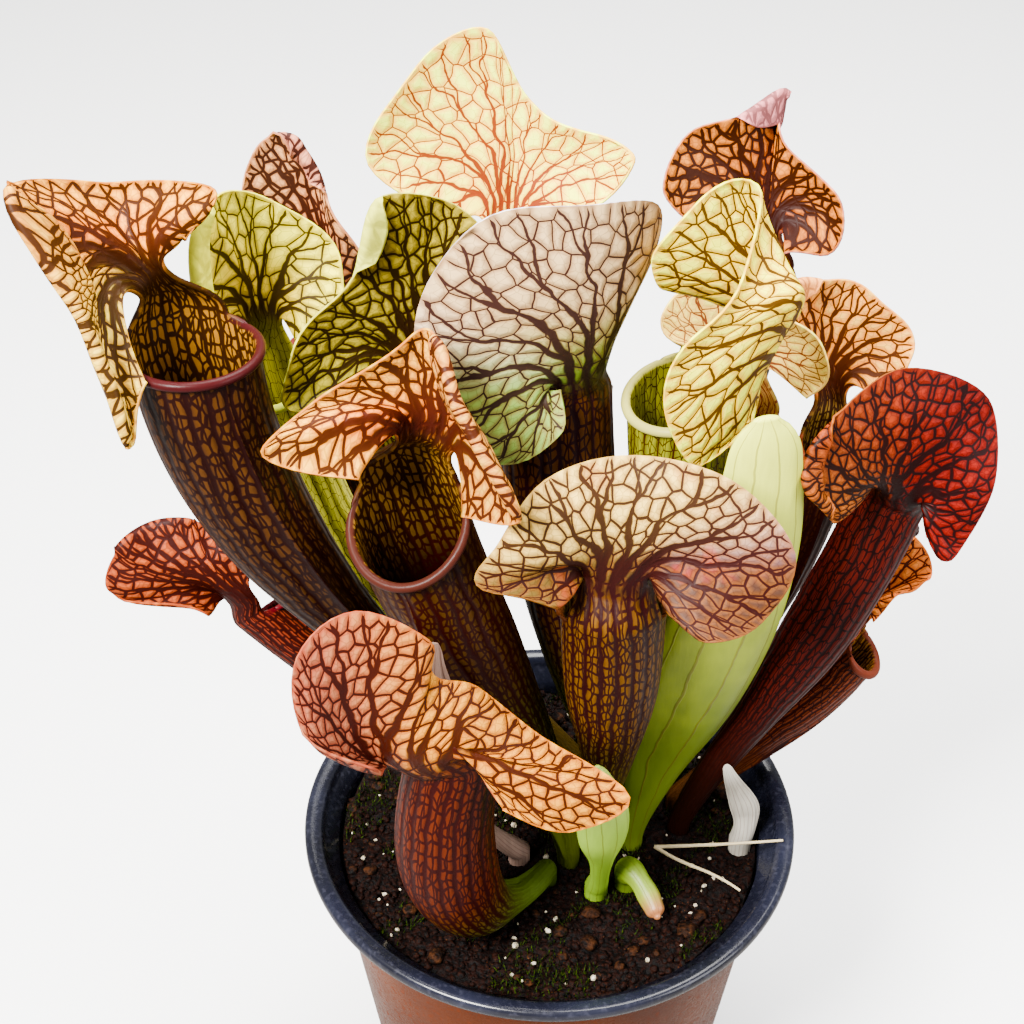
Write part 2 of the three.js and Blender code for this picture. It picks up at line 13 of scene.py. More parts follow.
import bpy
import numpy as np
from mathutils.geometry import delaunay_2d_cdt
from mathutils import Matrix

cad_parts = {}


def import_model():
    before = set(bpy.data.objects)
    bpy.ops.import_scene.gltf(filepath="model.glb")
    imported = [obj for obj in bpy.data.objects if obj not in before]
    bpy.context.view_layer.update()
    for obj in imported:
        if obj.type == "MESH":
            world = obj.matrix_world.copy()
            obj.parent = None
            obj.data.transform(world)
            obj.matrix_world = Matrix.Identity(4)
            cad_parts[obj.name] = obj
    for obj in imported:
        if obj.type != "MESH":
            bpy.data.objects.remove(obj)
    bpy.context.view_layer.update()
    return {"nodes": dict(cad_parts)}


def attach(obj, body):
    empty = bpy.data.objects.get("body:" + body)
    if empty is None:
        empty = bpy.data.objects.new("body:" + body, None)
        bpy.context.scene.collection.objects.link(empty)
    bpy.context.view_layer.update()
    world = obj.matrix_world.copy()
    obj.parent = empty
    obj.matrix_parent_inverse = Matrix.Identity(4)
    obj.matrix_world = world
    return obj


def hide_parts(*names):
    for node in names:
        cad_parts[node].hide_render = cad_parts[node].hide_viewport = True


log = logging.getLogger("pitcher_plant")
Array = np.ndarray
Keys = tuple[tuple[float, ...], ...]
Faces = list[tuple[int, ...]]
Socket = bpy.types.NodeSocket
Value = Socket | float | tuple

SOIL_TOP = 91.0
STALK_DEPTH = 15.0
STALK_RADIUS = 3.0
LEAF_THICKNESS = 1.0
LIP_ROLL = 0.65
BACK_ARC = math.radians(62)  # half the part of the mouth that the hood grows from
BEHIND = 1.5 * math.pi  # the angle of a tube's back
STALK_STEPS = (-1.0, -0.3)
MAP_LENGTH = 100.0  # millimetres for each unit up the leaf map
DEPTH = 1.7  # above 1, colours are deeper than their screen codes
VIVID = 1.15  # above 1, colours are purer than their screen codes


class Face(Enum):
    """Which finish a shoot has."""

    FRESH = "fresh"
    DRY = "dry"


def between(keys: Array, at: Array) -> Array:
    """A smooth value between evenly spaced keys.

    Args:
        keys: the values, one row for each key.
        at: where to read them, from 0 to 1.

    Returns:
        The value at each place.
    """
    keys = np.asarray(keys, float)
    x = np.clip(at, 0, 1) * (len(keys) - 1)
    i = np.minimum(x.astype(int), len(keys) - 2)
    f = x - i
    if keys.ndim > 1:
        f = f[:, None]
    a, b, c, d = (keys[np.clip(i + k, 0, len(keys) - 1)] for k in (-1, 0, 1, 2))
    return b + 0.5 * f * (c - a + f * (2 * a - 5 * b + 4 * c - d + f * (3 * (b - c) + d - a)))


def smooth(x: Array, low: float = 0.0, high: float = 1.0) -> Array:
    """A smooth step of x from 0 at low to 1 at high."""
    x = np.clip((np.asarray(x, float) - low) / (high - low), 0, 1)
    return x * x * (3 - 2 * x)


def unit(v: Array) -> Array:
    """Vectors of length 1 along v."""
    v = np.asarray(v, float)
    return v / np.maximum(np.linalg.norm(v, axis=-1, keepdims=True), 1e-9)


def bezier(p: list[Array], t: Array) -> Array:
    """Points of a cubic curve at t; p holds its four control points."""
    s = 1 - t
    return s**3 * p[0] + 3 * s * s * t * p[1] + 3 * s * t * t * p[2] + t**3 * p[3]


def waves(points: Array, size: float, seed: float) -> Array:
    """A soft unevenness from -1 to 1, made of a few crossing waves.

    Args:
        points: where, in millimetres.
        size: the length of the largest wave.
        seed: moves the waves, so that two leaves differ.

    Returns:
        One value for each point.
    """
    total = np.zeros(len(points))
    for k in range(6):
        turn = seed * 1.7 + k * 2.4
        way = np.array([math.cos(turn), math.sin(turn), math.sin(turn * 1.9 + 1)])
        total += np.sin(points @ unit(way) * (2 * math.pi / size) * (1 + 0.37 * k) + turn * 3) / (1 + 0.5 * k)
    return total / 3.2


def normals_of(points: Array, quads: Array) -> Array:
    """The unit normal at each point of a surface of quads."""
    a, b, c, d = (points[quads[:, k]] for k in range(4))
    faces = np.cross(c - a, d - b)
    total = np.zeros_like(points)
    for k in range(4):
        np.add.at(total, quads[:, k], faces)
    return unit(total)


def turns(count: int) -> Array:
    """Evenly spaced angles of a full round."""
    return 2 * math.pi * np.arange(count) / count


def apart(angle: Array, other: float) -> Array:
    """How far angles are from another one, either way round."""
    return np.abs((angle - other + math.pi) % (2 * math.pi) - math.pi)


def listed(corners: Array) -> Faces:
    """Rows of corner numbers as faces."""
    return [tuple(row) for row in corners.tolist()]


def belts(rings: Array, flip: bool = False) -> Array:
    """Quads between closed rings, each joined to the next one.

    Args:
        rings: the corner numbers of each ring, one row for each.
        flip: whether the quads face the other way.

    Returns:
        The four corners of each quad.
    """
    low, high = rings[:-1], rings[1:]
    corners = [low, np.roll(low, -1, 1), np.roll(high, -1, 1), high]
    if flip:
        corners = [low, high, corners[2], corners[1]]
    return np.stack(corners, axis=-1).reshape(-1, 4)


@dataclass
class Skin:
    """The corners, faces and marks of a mesh while it is put together.

    Args:
        points: corners in millimetres.
        faces: corner numbers of each face.
        corners: the leaf map's two values at each face's corners, in the faces' order.
        marks: named values, one for each corner point.
    """

    points: Array
    faces: Faces
    corners: Array | None = None
    marks: dict[str, Array] = field(default_factory=dict)

    def mesh(self, name: str) -> bpy.types.Mesh:
        """A Blender mesh of it, smooth shaded and in metres."""
        made = bpy.data.meshes.new(name)
        made.from_pydata((self.points / 1000).tolist(), [], self.faces)
        if self.corners is not None:
            made.uv_layers.new(name="leaf").data.foreach_set("uv", self.corners.astype(np.float32).ravel())
        for mark, values in self.marks.items():
            made.attributes.new(mark, "FLOAT", "POINT").data.foreach_set("value", values.astype(np.float32))
        made.polygons.foreach_set("use_smooth", np.ones(len(made.polygons), bool))
        made.update()
        return made


def piece(name: str, skin: Skin, material: bpy.types.Material, slot: str, *nodes: str) -> bpy.types.Object:
    """Puts a mesh in the scene as a piece that rides on the plant.

    Args:
        name: the piece's name.
        skin: its shape.
        material: its finish.
        slot: the record's material slot; not used.
        nodes: the solids that it stands for.

    Returns:
        The new object.
    """
    made = bpy.data.objects.new(name, skin.mesh(name))
    bpy.context.scene.collection.objects.link(made)
    made.data.materials.append(material)
    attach(made, "root")
    if nodes:
        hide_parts(*nodes)
    log.info("%s: %d faces", name, len(skin.faces))
    return made


def paint(code: str) -> tuple[float, float, float, float]:
    """The linear colour of a six-figure screen colour."""
    parts = [int(code[k : k + 2], 16) / 255 for k in (0, 2, 4)]
    r, g, b = (c / 12.92 if c <= 0.04045 else ((c + 0.055) / 1.055) ** 2.4 for c in parts)
    grey = (r + g + b) / 3
    r, g, b = (max(grey + (c - grey) * VIVID, 0.0) ** DEPTH for c in (r, g, b))
    return (r, g, b, 1.0)


class Graph:
    """A node tree with short ways to add to it."""

    def __init__(self, tree: bpy.types.NodeTree) -> None:
        """Keeps the tree.

        Args:
            tree: a material's tree or a group.
        """
        self.tree = tree

    def feed(self, socket: Socket, value: Value) -> None:
        """Links a socket, or sets it where the value is plain."""
        if isinstance(value, Socket):
            self.tree.links.new(value, socket)
        else:
            socket.default_value = value

    def add(
        self, kind: str, inputs: dict[str | int, Value] | None = None, **settings: object
    ) -> bpy.types.Node:
        """Adds a node.

        Args:
            kind: the node's type, without its ShaderNode prefix.
            inputs: values or sockets by input name or number.
            settings: the node's own settings.

        Returns:
            The node.
        """
        node = self.tree.nodes.new("ShaderNode" + kind)
        for key, value in settings.items():
            setattr(node, key, value)
        for key, value in (inputs or {}).items():
            self.feed(node.inputs[key], value)
        return node

    def math(self, how: str, a: Value, b: Value = 0.0, c: Value = 0.0) -> Socket:
        """The result of one sum."""
        return self.add("Math", {0: a, 1: b, 2: c}, operation=how).outputs[0]

    def times(self, first: Value, *others: Value) -> Socket:
        """All the values multiplied."""
        for other in others:
            first = self.math("MULTIPLY", first, other)
        return first

    def ramp(self, value: Value, slope: Value, start: Value) -> Socket:
        """The value times the slope, plus the start."""
        return self.math("MULTIPLY_ADD", value, slope, start)

    def rest(self, value: Value) -> Socket:
        """What is left of 1."""
        return self.math("SUBTRACT", 1.0, value)

    def centred(self, value: Value) -> Socket:
        """A value from 0 to 1 moved to lie round 0."""
        return self.math("SUBTRACT", value, 0.5)

    def step(self, value: Value, low: Value, high: Value) -> Socket:
        """A smooth step from 0 at low to 1 at high, either way round."""
        node = self.add("MapRange", {0: value, 1: low, 2: high}, interpolation_type="SMOOTHSTEP")
        return node.outputs[0]

    def mix(self, share: Value, a: Value, b: Value, how: str = "MIX") -> Socket:
        """Colour a with a share of colour b over it."""
        node = self.add("Mix", data_type="RGBA", blend_type=how, clamp_factor=True)
        for socket, value in zip((node.inputs[0], node.inputs[6], node.inputs[7]), (share, a, b)):
            self.feed(socket, value)
        return node.outputs[2]

    def blend(self, share: Value, a: Value, b: Value) -> Socket:
        """Number a with a share of number b over it."""
        return self.add("Mix", {0: share, 2: a, 3: b}, data_type="FLOAT").outputs[0]

    def chance(self, number: Value, seed: Value) -> Socket:
        """A value from 0 to 1 that looks random but is fixed for each number."""
        cell = self.add("CombineXYZ", {0: number, 1: seed}).outputs[0]
        return self.add("TexWhiteNoise", {"Vector": cell}, noise_dimensions="2D").outputs["Value"]

    def noise(self, where: Value, scale: Value, detail: float = 2.0, seed: Value = 0.0) -> bpy.types.Node:
        """A cloudy noise at a place."""
        inputs = {"Vector": where, "W": seed, "Scale": scale, "Detail": detail}
        return self.add("TexNoise", inputs, noise_dimensions="4D")

    def place(self, squeeze: tuple[float, float, float] = (1, 1, 1)) -> Socket:
        """The surface's place in millimetres, squeezed along the axes."""
        here = self.add("TexCoord").outputs["Object"]
        node = self.add("VectorMath", {0: here, 1: tuple(1000 * s for s in squeeze)}, operation="MULTIPLY")
        return node.outputs[0]

    def shift(self, where: Value, amount: Value, scale: float, seed: Value) -> Socket:
        """A place moved by a noise, to make lines wander.

        Args:
            where: the place.
            amount: how far it moves.
            scale: the noise's scale.
            seed: moves the noise.

        Returns:
            The moved place.
        """
        cloud = self.noise(where, scale, 1.0, seed).outputs["Color"]
        centred = self.add("VectorMath", {0: cloud, 1: (0.5, 0.5, 0.5)}, operation="SUBTRACT").outputs[0]
        inputs = {0: centred, 1: (amount,) * 3, 2: where}
        return self.add("VectorMath", inputs, operation="MULTIPLY_ADD").outputs[0]

    def grey(self, level: Value) -> Socket:
        """A grey colour of one level."""
        return self.add("CombineColor", {0: level, 1: level, 2: level}).outputs[0]

    def finish(self, colour: Value, rough: Value, height: Value, strength: float, distance: float) -> None:
        """Links what the material's shader shows.

        Args:
            colour: its base colour.
            rough: its roughness.
            height: the height of its bumps.
            strength: how strong they are.
            distance: how high they are in metres.
        """
        inputs = {"Height": height, "Strength": strength, "Distance": distance}
        shader = self.tree.nodes["Principled BSDF"].inputs
        self.feed(shader["Base Color"], colour)
        self.feed(shader["Roughness"], rough)
        self.feed(shader["Normal"], self.add("Bump", inputs).outputs[0])

    def edges(self, where: Value, cell: Value) -> Socket:
        """The distance to the nearest line of a flat net, in the units of the place and of its cells."""
        inputs = {"Vector": where, "Scale": self.math("DIVIDE", 1.0, cell), "Randomness": 0.85}
        net = self.add("TexVoronoi", inputs, feature="DISTANCE_TO_EDGE", voronoi_dimensions="2D")
        return self.times(net.outputs["Distance"], cell)


class Coat:
    """A shared shader group that puts out a colour, a roughness and a height.

    Args:
        name: the group's name.
        colours: the names of its colour inputs.
        numbers: the names of its number inputs.
    """

    STRENGTH = 0.35
    DISTANCE = 0.0004
    SPECULAR = 0.25

    def __init__(self, name: str, colours: tuple[str, ...], numbers: tuple[str, ...]) -> None:
        """Builds the group once, with its sockets."""
        tree = bpy.data.node_groups.new(name, "ShaderNodeTree")
        for key in colours:
            made = tree.interface.new_socket(name=key, in_out="INPUT", socket_type="NodeSocketColor")
            made.default_value = (0.5, 0.5, 0.5, 1.0)
        for key in numbers:
            made = tree.interface.new_socket(name=key, in_out="INPUT", socket_type="NodeSocketFloat")
            made.default_value = 0.5
        for key, kind in (("Color", "Color"), ("Roughness", "Float"), ("Height", "Float")):
            tree.interface.new_socket(name=key, in_out="OUTPUT", socket_type="NodeSocket" + kind)
        self.graph = Graph(tree)
        self.value = tree.nodes.new("NodeGroupInput").outputs
        self.result = tree.nodes.new("NodeGroupOutput").inputs

    def give(self, colour: Value, rough: Value, height: Value) -> None:
        """Links what the group puts out."""
        for key, value in (("Color", colour), ("Roughness", rough), ("Height", height)):
            self.graph.feed(self.result[key], value)

    def finish(self, name: str, values: dict[str, Value]) -> bpy.types.Material:
        """A material with this coat.

        Args:
            name: the material's name.
            values: the group's inputs by name.

        Returns:
            The material.
        """
        made, graph = new_material(name, Specular_IOR_Level=self.SPECULAR)
        node = graph.add("Group", node_tree=self.graph.tree)
        for key, value in values.items():
            graph.feed(node.inputs[key], value)
        given = [node.outputs[key] for key in ("Color", "Roughness", "Height")]
        graph.finish(*given, self.STRENGTH, self.DISTANCE)
        return made


def new_material(name: str, **sockets: float) -> tuple[bpy.types.Material, Graph]:
    """Starts a material.

    Args:
        name: the material's name.
        sockets: plain values of the shader's own sockets, with _ for a space.

    Returns:
        The material and its graph.
    """
    made = bpy.data.materials.new(name)
    made.use_nodes = True
    shader = made.node_tree.nodes["Principled BSDF"]
    for key, value in sockets.items():
        shader.inputs[key.replace("_", " ")].default_value = value
    return made, Graph(made.node_tree)


@dataclass(frozen=True)
class Palette:
    """A pitcher's colours and how bold its veins are.

    Args:
        centre: the hood near the neck.
        margin: the hood near its edge.
        side: the colour on one side of the hood, a painted highlight on the big centre hood.
        side_at: which side, -1 or 1, and how much of it.
        drop: the parts that hang below the neck.
        drop_share: how much of it shows.
        drop_fall: how far above the neck's foot it starts, and the height over which it comes in,
            both in millimetres.
        outer: the hood's outer face.
        throat: the neck and the inside of the tube, inside partly a painted shade of the deep tube.
        vein: the veins.
        halo: the flush beside a vein.
        tube: the tube below the mouth.
        foot: the tube's lower end.
        lip: the rolled lip.
        blotch: scattered spots.
        blotch_share: how many of them show.
        vein_width: the main veins, in millimetres.
        net_width: the net between them, in millimetres.
        tube_width: the tube's veins, in millimetres.
        veins: how many main veins leave each half of the neck.
        fine: how strong the finest net is.
        cell: the size of the net's cells, in millimetres.
        collar: how dark the hood is round the neck, partly a painted shade where it joins the tube.
        behind: how much of the veins shows on the hood's outer face.
    """

    centre: str
    margin: str
    outer: str
    throat: str
    vein: str
    halo: str
    tube: str
    foot: str
    lip: str
    side: str = "d0c060"
    side_at: float = 0.0
    drop: str = "94a848"
    drop_share: float = 0.0
    drop_fall: tuple[float, float] = (14.0, 17.0)
    blotch: str = "b03040"
    blotch_share: float = 0.0
    vein_width: float = 0.75
    net_width: float = 0.34
    tube_width: float = 0.6
    veins: float = 3.5
    fine: float = 0.3
    cell: float = 4.0
    collar: float = 0.7
    behind: float = 1.0


COLOURS = tuple(f.name for f in fields(Palette) if f.type is str)
NUMBERS = tuple(f.name for f in fields(Palette) if f.type is float)


class PitcherSkin(Coat):
    """The shared group that draws a pitcher's veins, net, throat and lip."""

    MARKS = ("blade", "inside", "lip", "span", "climb", "east", "hang")
    STRENGTH = 0.4
    DISTANCE = 0.0006
    SPECULAR = 0.06

    def __init__(self) -> None:
        """Builds the group once."""
        super().__init__("pitcher skin", COLOURS, (*NUMBERS, "seed"))
        graph, self.seed = self.graph, self.value["seed"]
        leaf = graph.add("SeparateXYZ", {0: graph.add("UVMap", uv_map="leaf").outputs[0]})
        self.weft, self.north = leaf.outputs[0], graph.times(leaf.outputs[1], MAP_LENGTH)
        self.mark = {m: graph.add("Attribute", attribute_name=m).outputs["Fac"] for m in self.MARKS}
        self.here = graph.place()
        self.on_hood = graph.step(self.mark["blade"], 0.02, 0.24)
        self.shown = graph.blend(self.mark["inside"], self.value["behind"], 1.0)
        self.cloud = graph.noise(self.here, 0.05, 2.0, self.seed).outputs["Fac"]

        trunk, comb, small = self.trunks()
        net, fine, tube_net = self.nets()
        nearest = graph.math("MINIMUM", trunk, net)
        fade = graph.step(self.mark["climb"], 0.05, 0.58)
        tube_width = graph.times(self.value["tube_width"], graph.ramp(fade, 0.6, 0.4))
        tube_veins = self.line(comb, tube_width)
        for distance, share in ((small, 0.4), (tube_net, 0.55)):
            line = self.line(distance, graph.times(tube_width, share))
            tube_veins = graph.math("MAXIMUM", tube_veins, line)
        veins = graph.blend(self.on_hood, graph.times(tube_veins, fade), self.hood_veins(trunk, net, fine))
        mottle = graph.noise(self.here, 0.5, 3.0, self.seed).outputs["Fac"]

        quilt = graph.times(graph.step(nearest, 0.0, 1.6), self.on_hood)
        folds = graph.times(graph.step(comb, 0.0, 1.2), graph.rest(self.on_hood))
        height = graph.times(graph.math("ADD", quilt, folds), graph.rest(self.mark["lip"]))
        rough = graph.ramp(self.mark["lip"], -0.14, graph.ramp(mottle, 0.25, 0.36))
        colour = self.colour(veins, nearest, comb, mottle)
        self.give(colour, rough, graph.ramp(mottle, 0.35, height))

    def line(self, distance: Value, width: Value) -> Socket:
        """A soft-edged line, from the distance to its middle and half its width."""
        graph = self.graph
        return graph.step(distance, graph.times(width, 1.2), graph.times(width, 0.7))

    def trunks(self) -> list[Socket]:
        """Main veins, which run up the tube and fan out over the hood, where each forks twice.

        Returns:
            The distances in millimetres to the nearest main vein, to the tube's nearest rib and to its
            nearest small rib.
        """
        graph, blade = self.graph, self.mark["blade"]
        sway = self.weft
        ripple = graph.noise(self.here, 0.2, 2.0, self.seed).outputs["Fac"]
        for cloud, on_tube, on_hood in ((self.cloud, 3.0, 9.0), (ripple, 1.2, 2.6)):
            reach = graph.math("DIVIDE", graph.blend(self.on_hood, on_tube, on_hood), self.mark["span"])
            sway = graph.ramp(graph.centred(cloud), reach, sway)
        turn = graph.times(sway, self.value["veins"])
        trunk = graph.math("ROUND", turn)
        off = graph.math("SUBTRACT", turn, trunk)
        aside = graph.math("ABSOLUTE", off)
        twig, branch = aside, graph.ramp(graph.math("SIGN", off), 0.31, trunk)
        forks = ((0.1, 0.2, 0.4, 0.25, trunk), (0.6, 0.15, 0.3, 0.12, branch))
        for start, shift, length, spread, number in forks:
            low = graph.ramp(graph.chance(number, self.seed), shift, start)
            apart = graph.times(graph.step(blade, low, graph.math("ADD", low, length)), spread)
            twig = graph.math("ABSOLUTE", graph.math("SUBTRACT", twig, apart))
        unit_width = graph.math("DIVIDE", self.mark["span"], self.value["veins"])
        small = graph.math("SUBTRACT", 0.5, aside)
        return [graph.times(off, unit_width) for off in (twig, aside, small)]

    def nets(self) -> list[Socket]:
        """The closed nets: over the hood, the finest one inside that, and the tube's long one.

        Returns:
            The distance in millimetres to each net's nearest line.
        """
        graph, cell = self.graph, self.value["cell"]
        start = graph.times(self.seed, 17.0)
        east = graph.math("ADD", self.mark["east"], start)
        flat = graph.add("CombineXYZ", {0: east, 1: self.north}).outputs[0]
        flat = graph.shift(flat, 2.4, 0.16, self.seed)
        around = graph.ramp(self.weft, 15.0, start)
        tall = graph.add("CombineXYZ", {0: around, 1: graph.times(self.north, 0.6)}).outputs[0]
        tall = graph.shift(tall, 2.0, 0.3, self.seed)
        return [graph.edges(flat, cell), graph.edges(flat, graph.times(cell, 0.42)), graph.edges(tall, 2.0)]

    def hood_veins(self, trunk: Value, net: Value, fine: Value) -> Socket:
        """The hood's veins: the main ones, the net between them and the finest net."""
        graph, blade = self.graph, self.mark["blade"]
        side = graph.math("ABSOLUTE", self.weft)
        rim = graph.times(graph.step(blade, 1.0, 0.965), graph.step(side, 1.0, 0.98))
        taper = graph.times(graph.ramp(graph.step(blade, 0.9, 0.0), 0.9, 0.3), rim)
        low = graph.step(blade, 0.04, 0.2)
        thin = graph.times(graph.ramp(blade, -0.35, 1.0), low, rim, self.value["net_width"])
        main = self.line(trunk, graph.times(self.value["vein_width"], taper))
        veins = graph.math("MAXIMUM", main, self.line(net, thin))
        faint = graph.times(self.line(fine, graph.times(thin, 0.45)), self.value["fine"])
        return graph.times(graph.math("MAXIMUM", veins, faint), self.shown)

    def colour(self, veins: Value, nearest: Value, comb: Value, mottle: Value) -> Socket:
        """The ground between the veins, with the veins and the lip over it."""
        graph, value, mark, blade = self.graph, self.value, self.mark, self.mark["blade"]
        margin = graph.ramp(graph.centred(self.cloud), 0.5, blade)
        ground = graph.mix(graph.step(margin, 0.25, 0.9), value["centre"], value["margin"])
        ground = graph.mix(graph.times(graph.rest(mark["inside"]), 0.8), ground, value["outer"])
        # The side colour over one side of the hood: on the big centre hood a painted highlight.
        side = graph.times(self.weft, value["side_at"])
        ground = graph.mix(graph.step(side, -0.05, 0.6), ground, value["side"])
        ground = graph.mix(graph.times(mark["hang"], value["drop_share"]), ground, value["drop"])
        spots = graph.step(graph.noise(self.here, 0.11, 1.0, self.seed).outputs["Fac"], 0.56, 0.68)
        ground = graph.mix(graph.times(spots, value["blotch_share"]), ground, value["blotch"])
        flush = graph.times(graph.step(nearest, 1.8, 0.1), self.shown, 0.65)
        ground = graph.mix(flush, ground, value["halo"])
        # The dark neck: partly its own colour, partly a painted shade where the hood joins the tube.
        collar = graph.times(graph.step(blade, 0.42, 0.03), value["collar"])
        ground = graph.mix(collar, ground, value["throat"])

        tube = graph.mix(graph.step(mark["climb"], 0.12, 0.74), value["foot"], value["tube"])
        tube = graph.mix(graph.times(graph.step(comb, 1.6, 0.2), 0.5), tube, value["vein"])
        # The tube's inside: the dark throat colour is partly a painted shade of the deep tube, with a little
        # margin colour as painted light near the mouth.
        lit_mouth_share = graph.times(graph.step(mark["climb"], 0.8, 1.0), 0.22)
        painted_tube_shade = graph.mix(lit_mouth_share, value["throat"], value["margin"])
        tube = graph.mix(mark["inside"], tube, painted_tube_shade)
        ground = graph.mix(self.on_hood, tube, ground)
        ground = graph.mix(0.7, ground, graph.grey(graph.ramp(mottle, 0.6, 0.7)), "MULTIPLY")
        colour = graph.mix(graph.times(veins, 0.95), ground, value["vein"])
        return graph.mix(mark["lip"], colour, value["lip"])

    def dress(self, name: str, palette: Palette, seed: float) -> bpy.types.Material:
        """A material of one pitcher.

        Args:
            name: the material's name.
            palette: its colours.
            seed: moves its pattern.

        Returns:
            The material.
        """
        values: dict[str, Value] = {key: paint(getattr(palette, key)) for key in COLOURS}
        values.update({key: getattr(palette, key) for key in NUMBERS})
        return self.finish(name, values | {"seed": seed})


@dataclass
class Tube:
    """What every leaf has: a stalk and a curve that it grows along.

    Args:
        name: the solid's name.
        root: where it stands in the compost.
        curve: the curve's low, high and end points.
        face: the way its front looks, 0 towards -Y and 90 towards +X, in degrees.
    """

    name: str
    root: tuple[float, float]
    curve: Keys
    face: float

    STEPS = 97
    BEND = 0.06

    def ready(self, girth: tuple[float, ...]) -> None:
        """Works out the curve and the directions along it.

        Args:
            girth: the radius low, half-way, high and at the end.
        """
        x, y = self.root
        self.foot = np.array([x, y, SOIL_TOP - STALK_DEPTH])
        self.control = [np.array([x, y, SOIL_TOP + 3])] + [np.array(p, float) for p in self.curve]
        self.girths = np.array([STALK_RADIUS, *girth])
        turn = math.radians(self.face)
        front = np.array([math.sin(turn), -math.cos(turn), 0])
        alongs, fronts = [], []
        for t in np.linspace(1, 0, self.STEPS):
            along = unit(self.tangent(np.array([[t]])))[0]
            grown = smooth(t, -self.BEND, self.BEND)
            along = unit(along * grown + np.array([0, 0, 1]) * (1 - grown))
            front = unit(front - along * (front @ along))
            alongs.append(along)
            fronts.append(front)
        self.alongs, self.fronts = np.array(alongs[::-1]), np.array(fronts[::-1])

    def tangent(self, t: Array) -> Array:
        """The curve's direction at t."""
        p, s = self.control, 1 - t
        return s * s * (p[1] - p[0]) + 2 * s * t * (p[2] - p[1]) + t * t * (p[3] - p[2])

    def centre(self, t: Array) -> Array:
        """The curve's point at t; below 0 it goes straight down to the foot."""
        on = bezier(self.control, np.clip(t, 0, 1)[:, None])
        down = np.clip(-t, 0, 1)[:, None]
        return on * (1 - down) + self.foot * down

    def directions(self, t: Array) -> tuple[Array, Array, Array]:
        """Along the leaf, to its front and to its right, at each t."""
        x = np.clip(t, 0, 1) * (self.STEPS - 1)
        i = np.minimum(x.astype(int), self.STEPS - 2)
        f = (x - i)[:, None]
        along = unit(self.alongs[i] * (1 - f) + self.alongs[i + 1] * f)
        front = self.fronts[i] * (1 - f) + self.fronts[i + 1] * f
        front = unit(front - along * np.sum(front * along, axis=1, keepdims=True))
        return along, front, np.cross(along, front)


